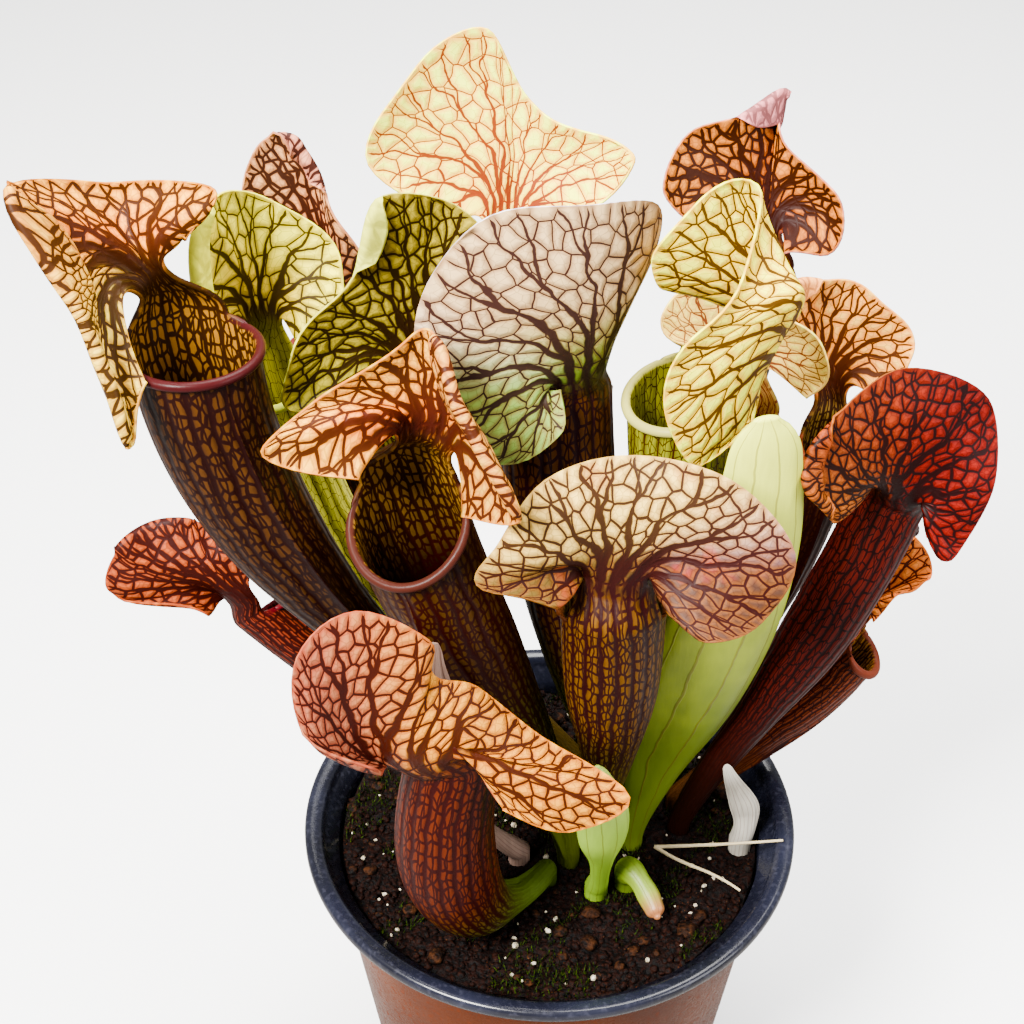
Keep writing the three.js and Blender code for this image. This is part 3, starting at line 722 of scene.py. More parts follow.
@dataclass
class Pitcher(Tube):
    """One pitcher: a tube with a rolled lip, and a hood that grows from its back.

    Args:
        girth: the tube's radius low, half-way, high and at the mouth.
        neck: the hood's foot and its width.
        brim: how much higher the mouth's back is than its front.
        wing: the keel on the tube's front.
        edge: the hood's free edge from left to right as seen by someone who looks into the mouth, from
            the neck, with how far the blade bows and how far it first rises.
        palette: its colours.
        slot: the record's material slot.
        flaps: where the margin folds back: from and to across the hood, and how far, in millimetres,
            over the inner face, or over the outer one where it is negative.
    """

    girth: tuple[float, ...]
    neck: tuple[float, float, float, float]
    brim: float
    wing: float
    edge: Keys
    palette: Palette
    slot: str
    flaps: Keys = ()

    # How finely the surface is cut.
    BACK = 60
    FRONT = 40
    ROWS = 60
    LIP_ROWS = 9
    NECK_ROWS = 10
    HOOD_ROWS = 40
    CURL_ROWS = 8
    FLAP_ROWS = 7
    # The lip: how far it rolls, over how much of the mouth that comes in, and its rise behind.
    ROLL = math.radians(235)
    ROLL_IN = math.radians(45)
    RISE = 2.0
    # The hood: its neck's arc, its waves, its frills and how its margin curls and lies back.
    NECK_ARC = math.radians(75)
    WAVE_SIZE = 26.0
    WAVE = 0.5
    FRILL = 0.8
    FRILLS = 5.0
    CURL = 0.9
    LEAN = math.radians(7)
    # The neck's share of the blade, half the map's width at the mouth, and where the hollow starts.
    NECK_SHARE = 0.12
    SEAM = 14.0
    HOLLOW_FROM = 0.34

    def __post_init__(self) -> None:
        """Works out the mouth and the hood's directions."""
        self.ready(self.girth)
        end = np.array([1.0])
        self.mouth = [d[0] for d in self.directions(end)]
        self.foothold = np.array(self.neck[:3])
        self.keys = np.array([(*e, 0.45 * math.hypot(*e[:3]))[:5] for e in self.edge], float)
        back = self.rim(np.array([BEHIND]), 1.0)[0]
        crest = unit(self.keys[np.argmax(self.keys[:, 2]), :3])
        right = self.mouth[2]
        self.up = unit(unit(self.foothold - back) + crest)
        self.across = unit(right - self.up * (right @ self.up))
        self.over = np.cross(self.across, self.up)
        self.seed = float(sum(map(ord, self.name)) % 97)

    def wall(self, t: Array, angle: Array) -> Array:
        """Points of the tube's wall, one row of angles for each t."""
        along, front, right = self.directions(t)
        r = between(self.girths, t)[:, None, None] - LEAF_THICKNESS / 2
        lift = self.brim * (1 - np.sin(angle))[None, :] * smooth(t, 0.7, 1)[:, None] / 2
        out = right[:, None] * np.cos(angle)[None, :, None] + front[:, None] * np.sin(angle)[None, :, None]
        return self.centre(t)[:, None] + r * out + along[:, None] * lift[..., None]

    def rim(self, angle: Array, roll: float) -> Array:
        """The lip past the tube's end, rolled out in front and straight up behind."""
        along, front, right = self.mouth
        out = right * np.cos(angle)[:, None] + front * np.sin(angle)[:, None]
        share = smooth(apart(angle, BEHIND) - BACK_ARC, 0, self.ROLL_IN)
        turn = roll * self.ROLL
        aside = share * LIP_ROLL * (1 - math.cos(turn))
        rise = share * LIP_ROLL * math.sin(turn) + (1 - share) * roll * self.RISE
        return self.wall(np.array([1.0]), angle)[0] + out * aside[:, None] + along * rise[:, None]

    def neck_top(self, u: Array) -> Array:
        """The neck's top across u, from -1 to 1."""
        turn = self.NECK_ARC * u[:, None]
        aside = self.across * (self.neck[3] / 2) * np.sin(turn)
        return self.foothold + aside + self.over * (self.neck[3] / 2.5) * (1 - np.cos(turn))

    def neck_rows(self, u: Array, low: Array) -> list[Array]:
        """The rows of the neck above the mouth's back."""
        top = self.neck_top(u)
        reach = np.linalg.norm(top - low, axis=1, keepdims=True) / 3
        control = [low, low + self.mouth[0] * reach, top - self.up * reach, top]
        return [bezier(control, k / self.NECK_ROWS) for k in range(1, self.NECK_ROWS + 1)]

    def hood_rows(self, u: Array) -> list[Array]:
        """The rows of the hood from the neck to the free edge."""
        start = self.neck_top(u)
        at = between(self.keys, (u + 1) / 2)
        tip = self.foothold + at[:, :3]
        chord = tip - start
        length = np.sum(chord * chord, axis=1, keepdims=True)
        bow = unit(self.over - chord * (chord @ self.over)[:, None] / length) * -at[:, 3:4]
        control = [start, start + self.up * at[:, 4:5] + bow * 0.6, tip - 0.35 * chord + bow, tip]
        return [bezier(control, k / self.HOOD_ROWS) for k in range(1, self.HOOD_ROWS + 1)]

    def flap_rows(self, u: Array, last: Array, tip: Array) -> list[Array]:
        """The rows past the hood's edge, which curl and lie back over the blade where there is a flap.

        Args:
            u: the ribs' places across the hood.
            last: the row before the edge.
            tip: the edge.

        Returns:
            The rows, from the curl to the free margin.
        """
        size = np.zeros(len(u))
        for low, high, length in self.flaps:
            size = size + length * np.sin(math.pi * np.clip((u - low) / (high - low), 0, 1)) ** 0.8
        side, size = np.where(size < 0, -1.0, 1.0)[:, None], np.abs(size)[:, None]
        along = unit(np.gradient(tip, axis=0))
        padded = np.concatenate([along[:2], along, along[-2:]])
        along = unit(sum(padded[k : k + len(u)] for k in range(5)))
        way = tip - last
        out = unit(way - along * np.sum(way * along, axis=1, keepdims=True))
        over = np.cross(along, out) * side
        share = smooth(size, 0.2, 2.5)
        curl = (0.15 + math.pi * self.CURL * share) / self.CURL_ROWS
        steps = [(math.pi * share * (k + 0.5) / self.CURL_ROWS, curl) for k in range(self.CURL_ROWS)]
        steps += [((math.pi - self.LEAN) * share, (0.1 + size) / self.FLAP_ROWS)] * self.FLAP_ROWS
        rows, at = [], tip
        for turn, length in steps:
            at = at + (out * np.cos(turn) + over * np.sin(turn)) * length
            rows.append(at)
        return rows

    def angles(self) -> Array:
        """The angles of a ring's corners: even behind, and in front closest together at the keel."""
        even = 2 * np.arange(self.FRONT) / self.FRONT - 1
        turn = np.abs(even) ** 1.4 * np.sign(even)
        back = BEHIND + BACK_ARC * np.linspace(-1, 1, self.BACK + 1)[:-1]
        return np.concatenate([back, BEHIND + BACK_ARC + (math.pi - BACK_ARC) * (1 + turn)])

    def skin(self) -> Skin:
        """The whole pitcher as one double-skinned surface."""
        angles, u = self.angles(), np.linspace(-1, 1, self.BACK + 1)
        around = len(angles)
        t = np.concatenate([STALK_STEPS, np.linspace(0, 1, self.ROWS)])
        rolls = np.arange(1, self.LIP_ROWS + 1) / self.LIP_ROWS
        rows = [*self.wall(t, angles), *(self.rim(angles, roll) for roll in rolls)]
        grid = np.arange(len(rows) * around).reshape(len(rows), around)
        foot = rows[-1][: len(u)]
        ribs = self.neck_rows(u, foot) + self.hood_rows(u)
        ribs += self.flap_rows(u, ribs[-2], ribs[-1])
        upper = grid.size + np.arange(len(ribs) * len(u)).reshape(len(ribs), -1)
        hood = np.vstack([grid[-1][: len(u)], upper])
        middle = np.concatenate([*rows, *ribs])

        # The leaf map: across from the back's middle, and the length up from the foot.
        across = (angles - BEHIND) / BACK_ARC
        whole = 2 * math.pi / BACK_ARC
        past = np.where(np.arange(around) < self.BACK + self.FRONT // 2, 0, whole)
        starts, ends = across - past, np.append(across[1:], whole - 1) - past
        rises = [np.linalg.norm(rows[i + 1].mean(0) - rows[i].mean(0)) for i in range(len(t) - 1)]
        length = np.concatenate([[0], np.cumsum(rises), np.sum(rises) + rolls * 3])
        east, north = self.unrolled(u, foot, ribs)
        lengths = np.concatenate([np.repeat(length, around), length[-1] + north.ravel()]) / MAP_LENGTH
        marks = self.marks(t, rolls, across, u, rows, ribs, east)

        def band(low: Array, high: Array, closed: bool) -> tuple[Array, Array]:
            """Quads between two rows, facing outwards, and the across values of their corners."""
            j = np.arange(len(low) if closed else len(low) - 1)
            n = (j + 1) % len(low)
            quads = np.stack([low[j], high[j], high[n], low[n]], axis=1)
            left, right = (starts[j], ends[j]) if closed else (u[j], u[n])
            return quads, np.stack([left, left, right, right], axis=1)

        parts = [band(grid[i], grid[i + 1], True) for i in range(len(grid) - 1)]
        parts += [band(hood[k], hood[k + 1], False) for k in range(len(hood) - 1)]
        quads, weft = (np.concatenate(part) for part in zip(*parts))
        outer, inner = self.shells(middle, quads, marks["blade"], u, len(ribs))
        self.add_keel(outer, grid[: len(t)], t, angles)

        total = len(middle)
        solid_until = int(np.searchsorted(t, self.HOLLOW_FROM))
        inside, inside_weft = (part[solid_until * around :, ::-1] for part in (quads, weft))
        rim = [*grid[-1][self.BACK :], grid[-1][0], *hood[1:, 0], *hood[-1][1:], *hood[1:-1, -1][::-1]]
        flat = np.array([[b, a, a + total, b + total] for a, b in zip(rim, rim[1:] + rim[:1])])
        faces = listed(quads) + listed(inside + total) + listed(flat)
        corners = []
        for wefts, which in ((weft, quads), (inside_weft, inside), (np.ones(flat.shape), flat % total)):
            corners.append(np.stack([wefts, lengths[which]], axis=-1).reshape(-1, 2))
        for ring in (grid[0], grid[solid_until][::-1] + total):
            faces.append(tuple(ring.tolist()))
            corners.append(np.zeros((around, 2)))
        both = {key: np.tile(values, 2) for key, values in marks.items()}
        both["inside"] = np.repeat([0.0, 1.0], total)
        return Skin(np.concatenate([outer, inner]), faces, np.concatenate(corners), both)

    def marks(
        self,
        t: Array,
        rolls: Array,
        across: Array,
        u: Array,
        rows: list[Array],
        ribs: list[Array],
        east: Array,
    ) -> dict[str, Array]:
        """The marks that the shared skin reads.

        Args:
            t: the tube's rows along the curve.
            rolls: the lip's rows.
            across: how far each corner of a ring is from the back's middle.
            u: the ribs' places across the hood.
            rows: the corners of the tube and the lip.
            ribs: the corners of the neck, the hood and its flaps.
            east: how far each corner of the ribs lies to the right of the leaf's middle.

        Returns:
            Each mark's value at each corner.
        """
        tube, hood = np.zeros((len(rows), len(across))), np.zeros((len(ribs), len(u)))
        lip, seam = tube.copy(), tube.copy()
        away = apart(across * BACK_ARC, 0.0)
        lip[len(t) :] = smooth(rolls, 0, 0.25)[:, None] * smooth(away, BACK_ARC * 0.85, BACK_ARC * 1.25)
        seam[-1] = across * self.SEAM
        climb = np.clip(np.concatenate([t, np.ones(len(rolls))]), 0, 1)[:, None]
        grown = np.linalg.norm(np.diff(ribs[self.NECK_ROWS - 1 :], axis=0), axis=2).cumsum(axis=0)
        neck = np.linspace(0, self.NECK_SHARE, self.NECK_ROWS + 1)[1:, None] + np.zeros(len(u))
        blade = np.concatenate([neck, self.NECK_SHARE + (1 - self.NECK_SHARE) * grown / grown[-1]])
        start, over = self.palette.drop_fall
        hang = smooth(self.foothold[2] - np.array(ribs)[..., 2] + start, 0, over)
        ring_spans = [self.ring_span(row, across) + np.zeros(len(row)) for row in rows]
        parts = {
            "blade": (tube, blade),
            "lip": (lip, hood),
            "climb": (climb + tube, hood + 1),
            "hang": (tube, hang),
            "east": (seam, east),
            "span": (ring_spans, [self.rib_spans(rib, u) for rib in ribs]),
        }
        return {key: np.concatenate([np.ravel(low), np.ravel(high)]) for key, (low, high) in parts.items()}

    def shells(self, middle: Array, quads: Array, blade: Array, u: Array, ribs: int) -> tuple[Array, Array]:
        """The outer and the inner face, with soft waves and a frilled, thinner edge.

        Args:
            middle: the corners of the leaf's middle face.
            quads: its quads.
            blade: how far out on the hood each corner is.
            u: the ribs' places across the hood.
            ribs: how many ribs there are.

        Returns:
            The corners of both.
        """
        normals = normals_of(middle, quads)
        wave = waves(middle, self.WAVE_SIZE, self.seed) * self.WAVE * smooth(blade, 0.1, 0.5)
        fold = np.concatenate([np.zeros(len(middle) - ribs * len(u)), np.tile(u, ribs)])
        frill = np.sin(fold * math.pi * self.FRILLS + self.seed)
        wave += self.FRILL * smooth(blade, 0.55, 1) ** 1.5 * frill
        moved = normals * wave[:, None]
        extra = self.CURL_ROWS + self.FLAP_ROWS
        folded = extra * len(u)
        moved[-folded:] = np.tile(moved[-folded - len(u) : -folded], (extra, 1))
        middle = middle + moved
        normals = normals_of(middle, quads)
        half = (LEAF_THICKNESS / 2) * (1 - 0.45 * smooth(blade, 0.7, 1))[:, None]
        return middle + normals * half, middle - normals * half

    def unrolled(self, u: Array, low: Array, ribs: list[Array]) -> tuple[Array, Array]:
        """The hood laid out flat, in millimetres, from the back of the mouth.

        Args:
            u: the ribs' places across the hood.
            low: the row at the mouth's back.
            ribs: the rows of the neck and the hood.

        Returns:
            How far each point of each row lies to the right and up.
        """
        steps = np.linalg.norm(np.diff([low, *ribs], axis=0), axis=2)
        neck = steps[: self.NECK_ROWS].mean(axis=1).cumsum()
        top, tip = ribs[self.NECK_ROWS - 1], ribs[-1]
        chords = unit(tip - top)
        bends = np.arccos(np.clip(np.sum(chords[1:] * chords[:-1], axis=1), -1, 1))
        widths = np.linalg.norm(np.diff(top, axis=0), axis=1)
        angle, start = (np.concatenate([[0], v.cumsum()]) for v in (bends, widths))
        angle, start = angle - angle[self.BACK // 2], start - start[self.BACK // 2]
        share = (np.arange(self.NECK_ROWS) + 1)[:, None] / self.NECK_ROWS
        grown = steps[self.NECK_ROWS :].cumsum(axis=0)
        east = self.SEAM * u * (1 - share) + start * share
        east = np.concatenate([east, start + grown * np.sin(angle)])
        north = np.concatenate([np.tile(neck[:, None], len(u)), neck[-1] + grown * np.cos(angle)])
        return east, north

    def ring_span(self, row: Array, across: Array) -> float:
        """Millimetres for each unit across a ring of the tube."""
        return np.linalg.norm(np.diff(row, axis=0), axis=1).sum() / (across[-1] - across[0])

    def rib_spans(self, rib: Array, u: Array) -> Array:
        """Millimetres for each unit across, at each corner of a rib."""
        steps = np.linalg.norm(np.gradient(rib, axis=0), axis=1) / np.abs(np.gradient(u))
        return steps * 0.5 + steps.mean() * 0.5

    def add_keel(self, outer: Array, grid: Array, t: Array, angles: Array) -> None:
        """Raises the thin keel down the tube's front."""
        off = np.degrees(apart(angles, math.pi / 2))
        ridge = np.clip(1 - off / 17, 0, 1) ** 1.7
        height = self.wing * np.sin(math.pi * np.clip(t / 0.95, 0, 1)) ** 0.7
        front = self.directions(t)[1]
        for i, row in enumerate(grid):
            outer[row] += front[i] * (height[i] * ridge)[:, None]

    def build(self, skin: PitcherSkin) -> bpy.types.Object:
        """Makes the pitcher's piece."""
        material = skin.dress(self.name + " skin", self.palette, self.seed)
        return piece(self.name.replace("pitcher", "leaf"), self.skin(), material, self.slot, self.name)


@dataclass
class Shoot(Tube):
    """A shoot without a mouth: young, spent or dry.

    Args:
        flat: the section's depth to its width.
        size: half the width from low to the tip.
        look: its finish.
        tone: its colour.
        shade: its second colour.
        tip: the colour of its end.
        ridge: how far its lengthwise folds stand out.
    """

    flat: float
    size: tuple[float, ...]
    look: Face
    tone: str
    shade: str
    tip: str
    ridge: float = 0.12

    AROUND = 56
    ROWS = 96
    CAP_ROWS = 8
    FOLDS = 9

    def skin(self) -> Skin:
        """The shoot as one closed surface."""
        self.ready(self.size)
        t = np.concatenate([STALK_STEPS, np.linspace(0, 1, self.ROWS)])
        along, front, right = self.directions(t)
        angle = turns(self.AROUND)
        r = between(self.girths, t) * np.sqrt(1 - np.clip((t - 0.95) / 0.055, 0, 0.98) ** 2)
        flat = np.where(t < 0, 1, 1 + (self.flat - 1) * smooth(t, 0, 0.3))
        folds = 1 + self.ridge * 0.1 * np.sin(angle * self.FOLDS)[None] * smooth(t, 0.05, 0.3)[:, None]
        rows = self.centre(t)[:, None] + right[:, None] * (r[:, None] * np.cos(angle) * folds)[..., None]
        rows = rows + front[:, None] * ((r * flat)[:, None] * np.sin(angle) * folds)[..., None]
        tip, reach = self.centre(t[-1:])[0], along[-1] * r[-1] * self.flat
        caps = []
        for k in range(1, self.CAP_ROWS + 1):
            turn = k / self.CAP_ROWS * math.pi / 2 * 0.97
            caps.append(tip + (rows[-1] - tip) * math.cos(turn) + reach * math.sin(turn))
        points = np.concatenate([rows.reshape(-1, 3), *caps])
        rings = np.arange(len(points)).reshape(-1, self.AROUND)
        faces = listed(belts(rings, flip=True)) + listed(np.array([rings[0], rings[-1][::-1]]))
        climb = np.concatenate([np.clip(t, 0, 1), np.ones(self.CAP_ROWS)])
        turn = np.abs((angle / math.pi + 0.5) % 2 - 1)
        marks = {"climb": np.repeat(climb, self.AROUND), "turn": np.tile(turn, len(rings))}
        return Skin(points, faces, None, marks)

    def build(self, skins: dict[Face, "ShootSkin"]) -> bpy.types.Object:
        """Makes the shoot's piece."""
        material = skins[self.look].dress(self.name + " skin", self.tone, self.shade, self.tip)
        slot = "dry_leaf" if self.look is Face.DRY else "young_leaf"
        return piece(self.name + "_grown", self.skin(), material, slot, self.name)


class ShootSkin(Coat):
    """The shared group of a shoot's lengthwise veins and its tip."""

    COLOURS = ("tone", "shade", "tip")

    def __init__(self, look: Face) -> None:
        """Builds the group once for a finish.

        Args:
            look: fresh or dry.
        """
        super().__init__(look.value + " shoot", self.COLOURS, ())
        dry, graph, value = look is Face.DRY, self.graph, self.value
        climb, turn = (graph.add("Attribute", attribute_name=m).outputs["Fac"] for m in ("climb", "turn"))
        cloud = graph.noise(graph.place(), 0.06, 3.0).outputs["Fac"]
        grain = graph.noise(graph.place((1, 1, 0.15)), 0.9, 3.0).outputs["Fac"]
        sway = graph.ramp(graph.centred(cloud), 0.12, turn)
        off = graph.centred(graph.math("FRACT", graph.times(sway, 9.0 if dry else 5.0)))
        lines = graph.step(graph.math("ABSOLUTE", off), 0.1 if dry else 0.06, 0.02)
        # Lower down a shoot takes its first colour; on the young green leaf that darker colour is partly a
        # painted shade.
        rise = graph.ramp(cloud, 0.5, climb)
        ground = graph.mix(graph.step(rise, 0.55, 1.15), value["tone"], value["shade"])
        ground = graph.mix(graph.step(climb, 0.7, 1.0), ground, value["tip"])
        shade = graph.grey(graph.ramp(grain, 0.6 if dry else 0.3, 0.7 if dry else 0.85))
        ground = graph.mix(1.0, ground, shade, "MULTIPLY")
        ink = paint("7a4a30" if dry else "7c5c1c")
        colour = graph.mix(graph.times(lines, 0.5 if dry else 0.45), ground, ink)
        rough = graph.ramp(grain, 0.2, 0.6 if dry else 0.32)
        self.give(colour, rough, graph.ramp(grain, 1.0 if dry else 0.5, lines))

    def dress(self, name: str, *codes: str) -> bpy.types.Material:
        """A material of one shoot.

        Args:
            name: the material's name.
            codes: its main colour, its second colour and the colour of its end.

        Returns:
            The material.
        """
        return self.finish(name, {key: paint(code) for key, code in zip(self.COLOURS, codes)})


@dataclass
class Pot:
    """The thin plastic pot: terracotta outside, blue-black inside and over its rim.

    Args:
        rim_radius: the rim's outer radius.
        height: the pot's height.
        wall_radius: the wall's outer radius under the rim.
        foot_radius: the foot's radius.
        wall: the plastic's thickness.
        wall_top: where the wall meets the rim.
        drain_radius: the radius of a drain hole.
        drain_ring: how far the holes' middles are from the pot's middle.
        drains: how many holes there are.
    """

    rim_radius: float = 65.0
    height: float = 100.0
    wall_radius: float = 58.0
    foot_radius: float = 46.0
    wall: float = 1.6
    wall_top: float = 93.5
    drain_radius: float = 4.0
    drain_ring: float = 31.0
    drains: int = 6

    AROUND = 224
    WALL_ROWS = 40
    LINED_FROM = WALL_ROWS + 3
    DRAIN_SIDES = 28
    FLOOR = 2.0

    def profile(self) -> list[tuple[float, float]]:
        """The section's points from the foot's edge, up outside, over the rim and down inside."""
        rim, top, inner = self.rim_radius, self.height, self.rim_radius - 4
        foot, wall, wall_top = self.foot_radius, self.wall_radius, self.wall_top
        slope = (wall - foot) / wall_top
        rises, falls = np.linspace(3, wall_top - 1.2, self.WALL_ROWS), np.linspace(wall_top - 2, 3.2, 24)
        outside = [(foot - 1.2, 0.0), (foot - 0.35, 0.25), (foot, 1.1)]
        outside += [(foot + slope * z, z) for z in rises]
        collar = [(wall + 0.3, wall_top - 0.2), (wall + 1.4, wall_top + 0.8), (inner, wall_top + 2.2)]
        collar += [(inner + 2.3, top - 3.4), (rim - 0.9, top - 3.5), (rim - 0.2, top - 3.0)]
        bead = [(0, 2.2), (0, 1.3), (0.25, 0.5), (0.9, 0.05), (1.7, 0)]
        lining = [(-0.9, 0.1), (-0.2, 0.35), (0.5, 0.9), (1.0, 2.0)]
        over = [(rim - x, top - z) for x, z in bead] + [(inner - x, top - z) for x, z in lining]
        inside = [(inner - self.wall, wall_top + 2.8), (wall - self.wall, wall_top + 0.6)]
        inside += [(foot + slope * z - self.wall, z) for z in falls]
        return outside + collar + over + inside + [(foot - self.wall - 1.2, self.FLOOR)]

    def circle(self, radius: float, count: int) -> Array:
        """Flat points round a middle."""
        angle = turns(count)
        return radius * np.stack([np.cos(angle), np.sin(angle)], axis=1)

    def floor(self, z: float, radius: float) -> tuple[Array, Faces]:
        """A flat floor of triangles with its drain holes left open.

        Args:
            z: its height.
            radius: the radius of its edge.

        Returns:
            Its points, the edge first and then each hole's, and its faces.
        """
        middles = self.drain_ring * self.circle(1.0, 2 * self.drains)[1::2]
        ring = self.circle(self.drain_radius, self.DRAIN_SIDES)
        points = np.concatenate([self.circle(radius, self.AROUND), *(ring + middle for middle in middles)])
        holes = self.AROUND + np.arange(self.drains * self.DRAIN_SIDES).reshape(self.drains, -1)
        loops = [list(range(self.AROUND)), *holes[:, ::-1].tolist()]
        made = delaunay_2d_cdt(points.tolist(), [], loops, 3, 1e-6)
        keep = []
        for face in made[2]:
            away = np.linalg.norm(points[list(face)].mean(0) - middles, axis=1).min()
            if len(face) == 3 and away >= self.drain_radius * 0.99:
                keep.append(tuple(face))
        return np.column_stack([points, np.full(len(points), z)]), keep

    def skin(self) -> Skin:
        """The pot as one closed surface with holes in its floor."""
        profile, flat = self.profile(), self.circle(1.0, self.AROUND)
        rows = [np.column_stack([r * flat, np.full(self.AROUND, z)]) for r, z in profile[1:-1]]
        low, low_faces = self.floor(0.0, profile[0][0])
        high, high_faces = self.floor(self.FLOOR, profile[-1][0])
        count, start = len(low), len(low) + len(high)
        points = np.concatenate([low, high, *rows])
        rings = [np.arange(self.AROUND), count + np.arange(self.AROUND)]
        rings[1:1] = list(start + np.arange(len(rows) * self.AROUND).reshape(len(rows), -1))
        faces = [face[::-1] for face in low_faces]
        faces += [tuple(i + count for i in face) for face in high_faces]
        faces += listed(belts(np.array(rings)))
        holes = self.AROUND + np.arange(self.drains * self.DRAIN_SIDES).reshape(self.drains, -1)
        for hole in holes:
            faces += listed(belts(np.array([hole, hole + count]))[:, [1, 0, 3, 2]])
        lined = np.zeros(len(points))
        lined[np.concatenate(rings[self.LINED_FROM :])] = 1.0
        lined[count:start] = 1.0
        return Skin(points, faces, None, {"lining": lined})

    def material(self) -> bpy.types.Material:
        """Glossy two-coloured plastic with scuffs, dust and dried splashes."""
        made, graph = new_material("pot plastic", Specular_IOR_Level=0.05, Coat_Roughness=0.2)
        lining = graph.add("Attribute", attribute_name="lining").outputs["Fac"]
        here = graph.place()
        cloud = graph.noise(here, 0.03, 4.0).outputs["Fac"]
        dust = graph.noise(here, 0.7, 5.0, 3.0).outputs["Fac"]
        clay = graph.mix(graph.step(cloud, 0.35, 0.7), paint("70480c"), paint("805410"))
        clay = graph.mix(graph.times(graph.step(dust, 0.55, 0.75), 0.15), clay, paint("b46c3c"))
        dark = graph.mix(graph.step(cloud, 0.3, 0.75), paint("2c2c36"), paint("4a4c5a"))
        dark = graph.mix(graph.times(graph.step(dust, 0.5, 0.72), 0.15), dark, paint("80808c"))
        streak = graph.noise(graph.place((1, 1, 0.08)), 0.5, 4.0, 5.0).outputs["Fac"]
        rough = graph.ramp(streak, 0.12, graph.ramp(graph.step(dust, 0.45, 0.8), 0.25, 0.2))
        height = graph.ramp(cloud, 3.0, graph.times(dust, 0.15))
        graph.finish(graph.mix(graph.step(lining, 0.45, 0.55), clay, dark), rough, height, 0.16, 0.0006)
        coat = made.node_tree.nodes["Principled BSDF"].inputs["Coat Weight"]
        graph.feed(coat, graph.times(lining, 0.45))
        return made

    def build(self) -> bpy.types.Object:
        """Makes the pot's piece."""
        return piece("nursery_pot", self.skin(), self.material(), "pot_plastic", "pot")


